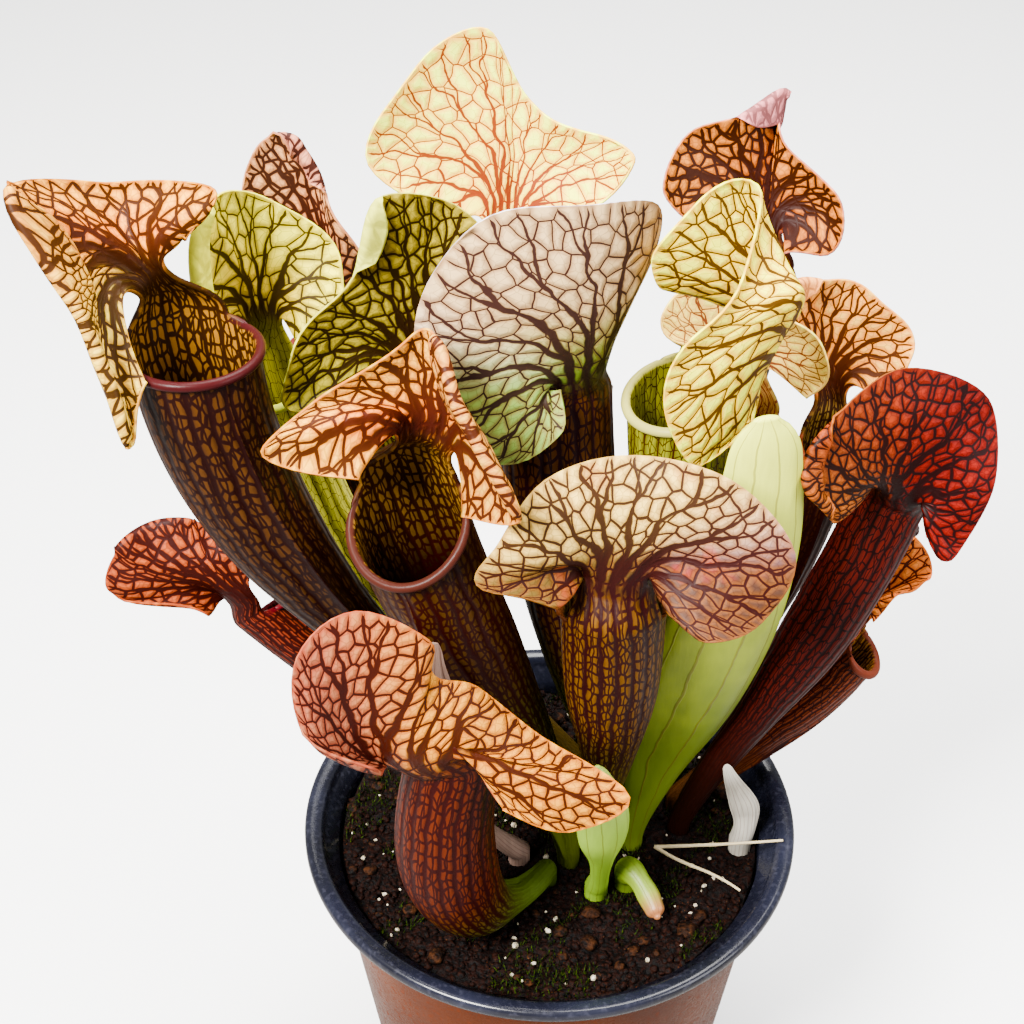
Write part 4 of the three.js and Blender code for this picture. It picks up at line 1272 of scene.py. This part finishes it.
@dataclass
class Ground:
    """The compost and everything that lies on it.

    Args:
        stalks: where the leaves stand.
        radius: how far the surface reaches.
        relief: how uneven the solid's top is.
    """

    stalks: list[tuple[float, float]]
    radius: float = 55.2
    relief: float = 1.2

    TWENTY = (
        (0, 11, 5), (0, 5, 1), (0, 1, 7), (0, 7, 10), (0, 10, 11), (1, 5, 9), (5, 11, 4), (11, 10, 2),
        (10, 7, 6), (7, 1, 8), (3, 9, 4), (3, 4, 2), (3, 2, 6), (3, 6, 8), (3, 8, 9), (4, 9, 5),
        (2, 4, 11), (6, 2, 10), (8, 6, 7), (9, 8, 1),
    )

    def level(self, x: Array, y: Array) -> Array:
        """The solid's uneven top."""
        wave = np.sin(0.21 * x + 1.3) * np.cos(0.17 * y) + np.sin(0.33 * y - 0.11 * x)
        return SOIL_TOP + self.relief / 2 * wave

    def away(self, x: Array, y: Array) -> Array:
        """How far places are from the nearest stalk's middle."""
        return np.min([np.hypot(x - a, y - b) for a, b in self.stalks], axis=0)

    def spot(self, rng: np.random.Generator) -> tuple[float, float]:
        """The next place on the surface."""
        r, turn = self.radius * math.sqrt(rng.random()), rng.random() * 2 * math.pi
        return r * math.cos(turn), r * math.sin(turn)

    def clear(self, x: float, y: float, gap: float) -> bool:
        """Whether a place lies that far from every stalk, and inside the edge."""
        return bool(self.away(x, y) > STALK_RADIUS + gap and math.hypot(x, y) < self.radius - 0.4)

    def over(self, x: float, y: float, lift: float) -> Array:
        """The point at a height over the solid's top."""
        return np.array([x, y, float(self.level(x, y)) + lift])

    def earth(self, name: str, codes: tuple[str, str, str], size: float) -> bpy.types.Material:
        """A rough damp material of two colours with specks.

        Args:
            name: its name.
            codes: the colours in its hollows, partly a painted shade, on its grains and of scattered specks.
            size: the grain's size in millimetres.

        Returns:
            The material.
        """
        made, graph = new_material(name, Specular_IOR_Level=0.06)
        dark, light, speck = map(paint, codes)
        here = graph.place()
        grain = graph.noise(here, 1 / size, 5.0).outputs["Fac"]
        patch = graph.noise(here, 0.09, 3.0, 7.0).outputs["Fac"]
        bits = graph.add("TexVoronoi", {"Vector": here, "Scale": 1.1 / size}).outputs["Distance"]
        # Darker where the grain's bumps are low: partly the material's own dark bits, partly a painted shade
        # in the hollows.
        colour = graph.mix(graph.step(grain, 0.38, 0.7), dark, light)
        specks = graph.times(graph.step(bits, 0.16, 0.08), graph.step(patch, 0.45, 0.6))
        rough = graph.ramp(grain, 0.35, 0.5)
        graph.finish(graph.mix(specks, colour, speck), rough, grain, 0.8, 0.001 * size)
        return made

    def crust(self) -> Skin:
        """A lumpy sheet just over the solid's top, open around the stalks."""
        rings, spokes = 96, 300
        r, turn = np.linspace(0.02, 1, rings) * self.radius, turns(spokes)
        x, y = (np.outer(r, f(turn)).ravel() for f in (np.cos, np.sin))
        flat = np.stack([x, y, np.zeros_like(x)], axis=1)
        bumps = waves(flat, 9, 3) * 0.9 + waves(flat, 3.2, 11) * 0.55 + waves(flat, 1.5, 23) * 0.3
        z = self.level(x, y) + 0.75 + bumps
        quads = belts(np.arange(len(x)).reshape(rings, spokes), flip=True)
        middle = flat[quads].mean(1)
        quads = quads[self.away(middle[:, 0], middle[:, 1]) > STALK_RADIUS + 0.9]
        return Skin(np.stack([x, y, z], axis=1), listed(quads))

    def lumps(self, count: int, low: float, high: float, squash: float, seed: int, lift: float) -> Skin:
        """Scattered angular lumps in one mesh, each an uneven solid of twenty faces.

        Args:
            count: how many.
            low: the smallest half-width.
            high: the largest half-width.
            squash: their height to their width.
            seed: for their places and shapes.
            lift: how high they sit over the solid's top.

        Returns:
            The lumps.
        """
        rng = np.random.default_rng(seed)
        golden = (1 + math.sqrt(5)) / 2
        signs = [(a, b * golden, 0) for b in (1, -1) for a in (-1, 1)]
        base = unit(np.array([np.roll(sign, k) for k in range(3) for sign in signs]))
        points, faces = [], []
        while len(points) < count:
            x, y = self.spot(rng)
            size = low + (high - low) * rng.random() ** 2
            if not self.clear(x, y, 1.0 + size):
                continue
            spin = rng.random() * 2 * math.pi
            uneven = 1 + 0.35 * (rng.random((len(base), 1)) - 0.5)
            shape = base * uneven * size * np.array([1, 0.6 + 0.4 * rng.random(), squash])
            c, s = math.cos(spin), math.sin(spin)
            shape = shape @ np.array([[c, s, 0], [-s, c, 0], [0, 0, 1]])
            faces += listed(np.array(self.TWENTY) + len(base) * len(points))
            points.append(shape + self.over(x, y, lift))
        return Skin(np.concatenate(points), faces)

    def moss(self, count: int, seed: int) -> Skin:
        """Low tufts of moss: short pointed blades in one mesh."""
        rng = np.random.default_rng(seed)
        points, faces = [], []
        while len(points) < count:
            x, y = self.spot(rng)
            patch = math.sin(x * 0.13 + 2) * math.cos(y * 0.11 - 1) + 0.5 * math.sin(x * 0.31 - y * 0.23)
            if patch < 0.15 or not self.clear(x, y, 1.5):
                continue
            way = rng.random() * 2 * math.pi
            side = np.array([math.cos(way), math.sin(way), 0]) * 0.22
            lean = np.array([rng.normal() * 0.7, rng.normal() * 0.7, 1.4 + rng.random() * 1.4])
            foot, start = self.over(x, y, 0.9), len(points) * 4
            points.append(np.stack([foot - side, foot + side, foot + lean * 0.6 + side * 0.7, foot + lean]))
            faces += [(start, start + 1, start + 2), (start, start + 2, start + 3)]
        return Skin(np.concatenate(points), faces)

    def build(self, solid: bpy.types.Object) -> None:
        """Dresses the compost and makes what lies on it.

        Args:
            solid: the compost's own object.
        """
        peat = self.earth("damp peat", ("120804", "3c2208", "6c4820"), 1.3)
        for place in solid.material_slots:
            place.material = peat
        piece("peat_crust", self.crust(), peat, "compost")
        crumbs, perlite = self.lumps(3000, 0.4, 1.7, 0.7, 5, 0.9), self.lumps(110, 0.35, 1.1, 0.8, 8, 1.5)
        bark, moss = self.lumps(70, 1.2, 3.4, 0.3, 12, 1.5), self.moss(3600, 4)
        for name, skin, look, codes, size in (
            ("peat_crumbs", crumbs, "peat crumbs", ("180c04", "442810", "785830"), 0.9),
            ("perlite", perlite, "perlite", ("a8a090", "dcd6ca", "f0ece4"), 0.7),
            ("bark_chips", bark, "bark", ("24160e", "604630", "8c7050"), 1.6),
            ("moss_tufts", moss, "moss", ("1c260c", "56641f", "8a9038"), 0.8),
        ):
            piece(name, skin, self.earth(look, codes, size), "compost")


PITCHERS = [
    Pitcher(
        "pitcher_left_open", (0, 3), ((-26, -2, 150), (-72, -17, 195), (-77, -9, 249)), 35,
        girth=(4.5, 7, 12, 14), neck=(-86, -2, 265, 8), brim=4, wing=4,
        edge=(
            (1, -21, -12, 3), (-2, -31, -21, 6), (-10, -23, 4, 8), (-23, -12, 26, 4), (-8, 8, 18, 4),
            (16, -1, 21, 0), (9, -1, 10, 0),
        ),
        palette=Palette(
            "eca03c", "f4c45c", "e4c070", "180608", "380a0e", "a84c18", "6a5030", "5c5428", "5c3436",
            side="ecd074", side_at=-0.9, drop="ecdc80", drop_share=0.6, vein_width=1.5, net_width=0.56,
            tube_width=0.55, cell=3.8, collar=0.9,
        ),
        flaps=((-0.67, 0.04, 13),),
        slot="hood_orange",
    ),
    Pitcher(
        "pitcher_left_green", (6, 17), ((-30, 14, 130), (-56, 14, 170), (-66, 20, 221)), 15,
        girth=(5.5, 7.5, 9, 9), neck=(-68, 28, 236, 8), brim=6, wing=3,
        edge=(
            (-7, -16, -3, 3), (-11, -18, 13, 4), (-9, -15, 36, 4), (2, 4, 30, 4), (18, 2, 17, 3),
            (19, -9, 5, 3), (10, -11, -4, 2),
        ),
        palette=Palette(
            "f0dc54", "f8f264", "e8e878", "2c1c0c", "40120c", "a0882c", "e8e478", "d0d45c", "ccd070",
            vein_width=1.0, net_width=0.32, tube_width=0.12, cell=5.4, veins=3.0, collar=0.9, behind=0.1,
        ),
        flaps=((-0.95, -0.25, 5),),
        slot="hood_green",
    ),
    Pitcher(
        "pitcher_back_left", (8, 26), ((-26, 34, 130), (-52, 44, 170), (-57, 44, 216)), -20,
        girth=(3.5, 5, 7, 7), neck=(-55, 50, 230, 7), brim=5, wing=2,
        edge=(
            (-6, -4, 6, 2), (-17, -2, 22, 3), (-15, 2, 37, 3), (-5, 6, 38, 3), (1, 2, 26, 3), (9, -4, 10, 2),
            (4, -4, 3, 1),
        ),
        palette=Palette(
            "d09468", "ecc49c", "e8b8a8", "280c0c", "400a10", "8c4430", "7a5a3a", "8a7a44", "905850",
            vein_width=1.5, net_width=0.6, tube_width=0.5, cell=3.6, collar=0.9,
        ),
        flaps=((-0.2, 0.35, 3),),
        slot="hood_red",
    ),
    Pitcher(
        "pitcher_centre_left", (8, 9), ((-10, 8, 130), (-34, 6, 170), (-36, 5, 212)), -10,
        girth=(4, 6, 8.5, 9.5), neck=(-33, 14, 229, 9), brim=8, wing=2,
        edge=(
            (-14, -12, 1, 2), (-26, -16, 3, 4), (-25, -12, 15, 5), (-12, -5, 29, 2), (-5, -1, 46, 3),
            (7, 7, 42, 4), (18, 6, 32, 3), (12, -4, 18, 2),
        ),
        palette=Palette(
            "9c9038", "ccc05c", "d8dc88", "1c0808", "380a10", "5c4018", "74803a", "849c3c", "c0cc70",
            drop="ccc84c", drop_share=0.6, vein_width=1.2, net_width=0.45, tube_width=0.3, cell=4.0,
            collar=0.95, behind=0.15,
        ),
        flaps=((-0.12, 0.16, 4),),
        slot="hood_green",
    ),
    Pitcher(
        "pitcher_centre_orange", (5, -9), ((0, -6, 130), (-20, -12, 162), (-31, -20, 209)), -15,
        girth=(5.5, 9, 12.5, 13.5), neck=(-28, -18, 236, 12), brim=13, wing=5,
        edge=(
            (-14, -12, -3, 2), (-33, -15, 6, 3), (-20, -5, 13, 3), (-4, -2, 24, 3), (3, -3, 27, 2),
            (8, -14, 18, 5), (19, -25, -2, 4), (8, -13, -12, 2),
        ),
        palette=Palette(
            "e8a04c", "f4cc6c", "dcb880", "3a1418", "480a10", "b04c20", "6c5428", "849038", "64443c",
            side="d4b468", side_at=0.5, vein_width=1.5, net_width=0.54, tube_width=0.55, cell=3.8,
        ),
        flaps=((0.15, 0.74, 9),),
        slot="hood_orange",
    ),
    Pitcher(
        "pitcher_back_tall", (17, 27), ((8, 40, 130), (-4, 54, 180), (-12, 48, 228)), 5,
        girth=(4, 6, 9, 10), neck=(-12, 56, 244, 10), brim=8, wing=2,
        edge=(
            (-14, -6, 5, 3), (-31, -6, 22, 6), (-21, 2, 40, 5), (-4, 8, 48, 5), (5, 6, 32, 5), (18, 0, 26, 6),
            (31, -6, 22, 5), (19, -8, 9, 4),
        ),
        palette=Palette(
            "fcf07c", "f6ff84", "f6fc84", "c84838", "8c2018", "f4ac70", "ccd070", "9cb850", "d8b070",
            blotch="b83048", blotch_share=0.18, vein_width=0.75, net_width=0.24, tube_width=0.15, collar=0.35,
            cell=5.0,
        ),
        slot="hood_cream",
    ),
    Pitcher(
        "pitcher_centre_big", (16, 9), ((12, 10, 130), (3, 6, 170), (0, 11, 220)), 200,
        girth=(5.5, 10, 13, 13.5), neck=(4, -1, 236, 19), brim=9, wing=3,
        edge=(
            (6, 8, 12, 2), (15, 15, 26, 3), (17, 10, 40, 5), (2, -3, 47, 6), (-18, -8, 47, 6),
            (-31, -10, 33, 6), (-34, -11, 15, 6), (-28, -13, -2, 6), (-15, -13, -11, 5), (-3, -11, -3, 4),
            (-4, -6, 4, 2),
        ),
        palette=Palette(
            "c8b468", "e8d0b8", "dcc8a4", "2c0c18", "440c30", "98745c", "7c5c28", "70803a", "90784c",
            # side: a painted highlight where light falls on one side of this hood
            side="fcf4fc", side_at=1.1, drop="a0b848", drop_share=0.95, drop_fall=(28, 24), vein_width=1.2,
            net_width=0.3, tube_width=0.45, cell=4.8, collar=0.85,
        ),
        slot="hood_green",
    ),
    Pitcher(
        "pitcher_right_yellow", (26, 9), ((30, 12, 130), (30, 10, 170), (28, 7, 227)), -65,
        girth=(4, 6.5, 10, 12), neck=(45, 8, 238, 9), brim=5, wing=2,
        edge=(
            (-12, 6, 15, 2, 8), (-23, -6, 23, 3, 14), (-25, -12, 34, 4, 20), (-15, -8, 46, 3, 24),
            (-4, -4, 44, 2, 30), (-7, -14, 28, 2, 44), (-19, -20, 16, 2, 34), (-22, -22, 0, 2, 20),
            (-14, -21, -14, 2, 10), (-2, -11, -9, 1, 3),
        ),
        palette=Palette(
            "f8e43c", "fcfc54", "f8f254", "3c1410", "500c14", "dc9c38", "98983c", "84983c", "bcb880",
            drop="ccdc50", drop_share=0.5, vein_width=1.2, net_width=0.36, tube_width=0.2, collar=0.5,
            cell=5.0,
        ),
        slot="hood_yellow",
    ),
    Pitcher(
        "pitcher_right_pale", (25, 18), ((32, 24, 130), (38, 30, 160), (48, 25, 204)), 10,
        girth=(3.5, 5, 7, 7), neck=(47, 32, 216, 8), brim=5, wing=2,
        edge=(
            (-16, -4, 12, 2), (-22, 0, 19, 3), (-10, 3, 26, 3), (5, -3, 22, 3), (17, -9, 12, 3),
            (13, -10, 2, 2),
        ),
        palette=Palette(
            "f8e890", "fcf89c", "f4e894", "b86868", "8c4c44", "f0c088", "a8b850", "90b048", "e0c890",
            vein_width=0.5, net_width=0.22, tube_width=0.2, collar=0.3,
        ),
        slot="hood_cream",
    ),
    Pitcher(
        "pitcher_back_right", (28, 27), ((34, 42, 130), (42, 54, 180), (50, 50, 230)), -5,
        girth=(3.5, 5.5, 8, 8.5), neck=(51, 56, 244, 8), brim=6, wing=2,
        edge=(
            (-14, -8, 5, 3), (-26, -8, 15, 5), (-19, 0, 25, 4), (-6, 4, 29, 3), (4, 12, 30, 2), (3, 3, 21, 3),
            (16, -7, 13, 5), (14, -12, 1, 5), (4, -9, -1, 2),
        ),
        palette=Palette(
            "bc7c3c", "dca45c", "dcaab4", "40303c", "380a0e", "843c20", "6c4c30", "6c6c38", "80443c",
            drop="84542c", drop_share=0.5, drop_fall=(8, 17), vein_width=1.7, net_width=0.6, tube_width=0.5,
            cell=3.6, collar=0.85, behind=0.6,
        ),
        flaps=((-0.3, 0.12, 6),),
        slot="hood_orange",
    ),
    Pitcher(
        "pitcher_right_orange", (34, 19), ((46, 26, 125), (62, 32, 150), (67, 27, 198)), 15,
        girth=(3.5, 5, 7, 7.5), neck=(67, 35, 210, 8), brim=5, wing=2,
        edge=(
            (-7, -5, 12, 2), (-13, -4, 28, 3), (-7, 3, 31, 3), (8, 4, 27, 3), (19, -2, 15, 4), (12, -7, 2, 3),
        ),
        palette=Palette(
            "fcc064", "fcdc8c", "e4b890", "381010", "480c10", "e08840", "6a4828", "74803a", "a46c50",
            vein_width=1.1, net_width=0.34, tube_width=0.45, cell=4.4, behind=0.5, collar=0.6,
        ),
        flaps=((-0.7, -0.1, 5),),
        slot="hood_orange",
    ),
    Pitcher(
        "pitcher_right_red", (35, 2), ((42, 0, 122), (62, 2, 145), (78, 12, 186)), 165,
        girth=(4, 5.5, 8.5, 9), neck=(80, 3, 201, 14), brim=7, wing=2,
        edge=(
            (6, -7, -4, 3), (12, -11, -7, 5), (20, -3, 7, 5), (19, 6, 25, 4), (-3, 1, 37, 6),
            (-22, -9, 27, 6), (-25, -16, 16, 6), (-17, -16, 8, 4),
        ),
        palette=Palette(
            "702018", "a83c2c", "943828", "3c0a10", "2c060a", "581210", "7c3c30", "543628", "5c1820",
            side="c48c50", side_at=0.6, vein_width=1.0, net_width=0.45, tube_width=0.3, cell=3.2, collar=0.85,
        ),
        flaps=((0.35, 0.95, -4),),
        slot="hood_red",
    ),
    Pitcher(
        "pitcher_right_low", (35, 11), ((46, 14, 104), (66, 22, 112), (80, 20, 138)), 60,
        girth=(3.5, 4.5, 6, 6.5), neck=(82, 26, 146, 6), brim=4, wing=1.5,
        edge=(
            (2, -4, 2, 1), (8, -2, 10, 2), (16, 0, 14, 2), (11, 4, 24, 3), (1, 4, 20, 3), (-3, 2, 8, 2),
        ),
        palette=Palette(
            "fcbc64", "fccc7c", "e8a868", "401010", "480e10", "c86c34", "a86c48", "8a6a44", "8c5c4c",
            vein_width=0.75, net_width=0.4, tube_width=0.3,
        ),
        slot="hood_orange",
    ),
    Pitcher(
        "pitcher_front_centre", (14, -5), ((14, -14, 122), (14, -18, 156), (13, -23, 187)), 180,
        girth=(3, 7, 11, 12), neck=(13, -32, 203, 17), brim=8, wing=2,
        edge=(
            (12, -9, 2, 3), (19, -14, -1, 6), (31, -9, 1, 7), (37, 0, 12, 6), (24, 5, 27, 6), (2, 9, 31, 6),
            (-16, 3, 29, 6), (-26, -4, 17, 6), (-30, -7, 9, 4), (-13, -7, 3, 3),
        ),
        palette=Palette(
            "8c8c3c", "989048", "f4dc9c", "480c1c", "440a24", "987044", "846830", "a09c48", "6c4c34",
            side="a48498", side_at=-1.4, drop="64501c", drop_share=0.92, drop_fall=(18, 10),
            blotch="c04048", blotch_share=0.35, vein_width=1.3, net_width=0.42, tube_width=0.5, cell=4.0,
        ),
        slot="hood_cream",
    ),
    Pitcher(
        "pitcher_front_low", (-1, -15), ((-12, -34, 93), (-32, -42, 108), (-24, -40, 156)), 175,
        girth=(4, 9.5, 12, 11), neck=(-27, -51, 167, 23), brim=7, wing=2,
        edge=(
            (15, -7, -3, 3), (30, -7, -11, 4), (43, -1, -6, 3), (24, 7, 5, 5), (9, 8, 19, 6), (1, 4, 26, 5),
            (-1, 4, 37, 5), (-15, 2, 46, 5), (-27, -6, 41, 6), (-26, -10, 23, 6), (-12, -8, 9, 3),
        ),
        palette=Palette(
            "d0943c", "dcb850", "dcac48", "480c18", "480a16", "a04818", "784828", "889c54", "7a2c38",
            side="c09078", side_at=1.0, vein_width=1.6, net_width=0.46, tube_width=0.5, cell=4.0,
        ),
        slot="hood_orange",
    ),
    Pitcher(
        "pitcher_far_left", (-3, 12), ((-18, 10, 106), (-45, 6, 134), (-70, 9, 160)), 150,
        girth=(3.5, 4.5, 6, 6.5), neck=(-77, 4, 169, 9), brim=4, wing=1.5,
        edge=(
            (4, 1, 11, 1), (-5, 5, 20, 3), (-18, 4, 22, 4), (-27, -2, 18, 3), (-28, -6, 9, 3), (-6, -6, 3, 2),
        ),
        palette=Palette(
            "ac6040", "cc8854", "b47450", "480c18", "400a12", "843020", "a06048", "7c4c38", "74303a",
            vein_width=1.3, net_width=0.55, tube_width=0.45, cell=3.4,
        ),
        flaps=((-0.5, 0.2, 6),),
        slot="hood_orange",
    ),
]

SHOOTS = [
    Shoot(
        "young_leaf_green", (22, -3), ((22, -2, 130), (50, -6, 170), (44.5, -14, 237)), 8,
        flat=0.36, size=(8, 13.5, 14.5, 12, 7.5), look=Face.FRESH,
        # tone: darker low down, partly a painted shade where the leaf stands among the others
        tone="808c30", shade="c0c85c", tip="e4e888",
    ),
    Shoot(
        "young_leaf_small", (12, -20), ((13, -28, 108), (13, -33, 130), (10, -34, 152)), 20,
        flat=0.7, size=(2.6, 3.6, 6.5, 6, 2), look=Face.FRESH,
        tone="a4bc5c", shade="b4c874", tip="bcc880",
    ),
    Shoot(
        "spent_stalk", (20, -17), ((19, -21, 105), (24, -23, 99), (27, -32, 96)), 0,
        flat=0.9, size=(3.6, 3.4, 2.8, 3.0, 2.4), look=Face.FRESH,
        tone="8ea048", shade="a0ae5c", tip="b08a6c",
    ),
    Shoot(
        "dry_leaf_front", (-8, -8), ((-24, -20, 118), (-38, -26, 158), (-27, -35, 192)), 10,
        flat=0.14, size=(2.5, 3, 5, 7, 2), look=Face.DRY,
        tone="b4a096", shade="9c867c", tip="c4aea2", ridge=1.2,
    ),
    Shoot(
        "dry_leaf_right", (51, -4), ((54, -5, 108), (48, -5, 112), (45, -6, 124)), 0,
        flat=0.25, size=(3, 3.5, 3, 2, 1), look=Face.DRY,
        tone="c6c2ba", shade="a8a49c", tip="d8d4cc", ridge=1.2,
    ),
]


@dataclass
class Straws:
    """Two dry stems that share a foot and lie across the compost.

    Args:
        foot: where both start.
        ends: where each ends.
        radius: their radius at the foot.
    """

    foot: tuple[float, float, float] = (28, -7, 94)
    ends: Keys = ((61, -11, 101), (49, -23, 95.3))
    radius: float = 0.5

    RINGS = 33
    SIDES = 10

    def skin(self) -> Skin:
        """Both stems as slightly bent, knotted tubes."""
        points, faces = [], []
        foot = np.array(self.foot, float)
        t = np.linspace(0, 1, self.RINGS)[:, None]
        r = self.radius * (1 - 0.35 * t) * (1 + 0.3 * np.exp(-(((t - 0.45) / 0.02) ** 2)))
        angle = turns(self.SIDES)[:, None]
        for k, end in enumerate(self.ends):
            way = np.array(end, float) - foot
            side = unit(np.cross(way, (0, 0, 1)))
            sag = np.array([0, 0, 0.25]) * np.sin(t * math.pi)
            middle = foot + way * t + side * 0.5 * np.sin(t * math.pi * (1 + k)) + sag
            ring = side * np.cos(angle) + np.cross(side, unit(way)) * np.sin(angle)
            points.append((middle[:, None] + ring[None] * r[..., None]).reshape(-1, 3))
            rings = k * self.RINGS * self.SIDES + np.arange(len(points[k])).reshape(-1, self.SIDES)
            faces += listed(belts(rings)) + listed(np.array([rings[0][::-1], rings[-1]]))
        around = np.abs(np.linspace(-1, 1, self.SIDES))
        points = np.concatenate(points)
        marks = {"climb": np.zeros(len(points)), "turn": np.tile(around, len(points) // self.SIDES)}
        return Skin(points, faces, None, marks)

    def build(self, skin: ShootSkin) -> bpy.types.Object:
        """Makes the straws' piece."""
        material = skin.dress("straw", "d8cdb4", "b8a684", "c8b898")
        return piece("dry_straws", self.skin(), material, "dry_leaf", "dry_stems")


@dataclass
class Studio:
    """The pale floor, the soft lights and the camera.

    Args:
        eye: where the camera stands, in metres.
        tilt: how far it is turned up from looking straight down, in degrees.
        lens: its lens in millimetres.
    """

    eye: tuple[float, float, float] = (-0.0099, -0.32968, 0.45790)
    tilt: float = 52.1
    lens: float = 63.28

    def build(self) -> None:
        """Sets the scene for the render."""
        scene = bpy.context.scene
        lens = bpy.data.cameras.new("camera")
        lens.lens, lens.sensor_width, lens.clip_start = self.lens, 36, 0.01
        camera = bpy.data.objects.new("camera", lens)
        camera.location, camera.rotation_euler = self.eye, (math.radians(self.tilt), 0, 0)
        scene.collection.objects.link(camera)
        scene.camera = camera
        self.light("window", (-0.45, -0.5, 0.9), 0.35, 72.0, (1.0, 0.985, 0.95))
        self.light("fill", (0.7, -0.4, 0.5), 0.5, 10.0, (0.97, 0.98, 1.0))
        self.light("sky", (0.1, 0.3, 1.1), 0.7, 52.0, (1.0, 0.99, 0.97))
        world = bpy.data.worlds.new("pale room")
        world.use_nodes = True
        room = Graph(world.node_tree)
        path = room.add("LightPath").outputs
        shown = room.math("MAXIMUM", path["Is Camera Ray"], path["Is Glossy Ray"])
        sky = world.node_tree.nodes["Background"]
        sky.inputs["Color"].default_value = (0.94, 0.95, 0.97, 1)
        room.feed(sky.inputs["Strength"], room.ramp(shown, 0.6, 0.3))
        scene.world = world
        made = bpy.data.meshes.new("floor")
        made.from_pydata([(-3, -3, 0), (3, -3, 0), (3, 3, 0), (-3, 3, 0)], [], [(0, 1, 2, 3)])
        floor = bpy.data.objects.new("floor", made)
        scene.collection.objects.link(floor)
        pale, paper = new_material("pale floor", Roughness=0.85)
        shown = paper.add("LightPath").outputs["Is Camera Ray"]
        colour = paper.mix(shown, (0.22, 0.21, 0.2, 1), (0.9, 0.9, 0.9, 1))
        paper.feed(pale.node_tree.nodes["Principled BSDF"].inputs["Base Color"], colour)
        made.materials.append(pale)

    def light(
        self, name: str, where: tuple[float, float, float], size: float, power: float, tint: tuple
    ) -> None:
        """Adds a soft square light that looks at the plant.

        Args:
            name: its name.
            where: its place in metres.
            size: its width in metres.
            power: its power in watts.
            tint: its colour.
        """
        lamp = bpy.data.lights.new(name, "AREA")
        lamp.size, lamp.energy, lamp.color = size, power, tint
        made = bpy.data.objects.new(name, lamp)
        made.location = where
        target = np.array([0, 0, 0.16]) - np.array(where)
        flat = math.hypot(target[0], target[1])
        made.rotation_euler = (math.atan2(flat, -target[2]), 0, math.atan2(-target[0], target[1]))
        bpy.context.scene.collection.objects.link(made)


def main() -> None:
    """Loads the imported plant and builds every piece."""
    logging.basicConfig(level=logging.INFO, format="%(message)s")
    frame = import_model()
    Studio().build()
    Pot().build()
    leaves = [*PITCHERS, *SHOOTS]
    Ground([leaf.root for leaf in leaves]).build(frame["nodes"]["compost"])
    skin = PitcherSkin()
    for pitcher in PITCHERS:
        pitcher.build(skin)
    skins = {look: ShootSkin(look) for look in Face}
    for shoot in SHOOTS:
        shoot.build(skins)
    Straws().build(skins[Face.DRY])
    bpy.context.view_layer.update()


if __name__ == "__main__":
    main()
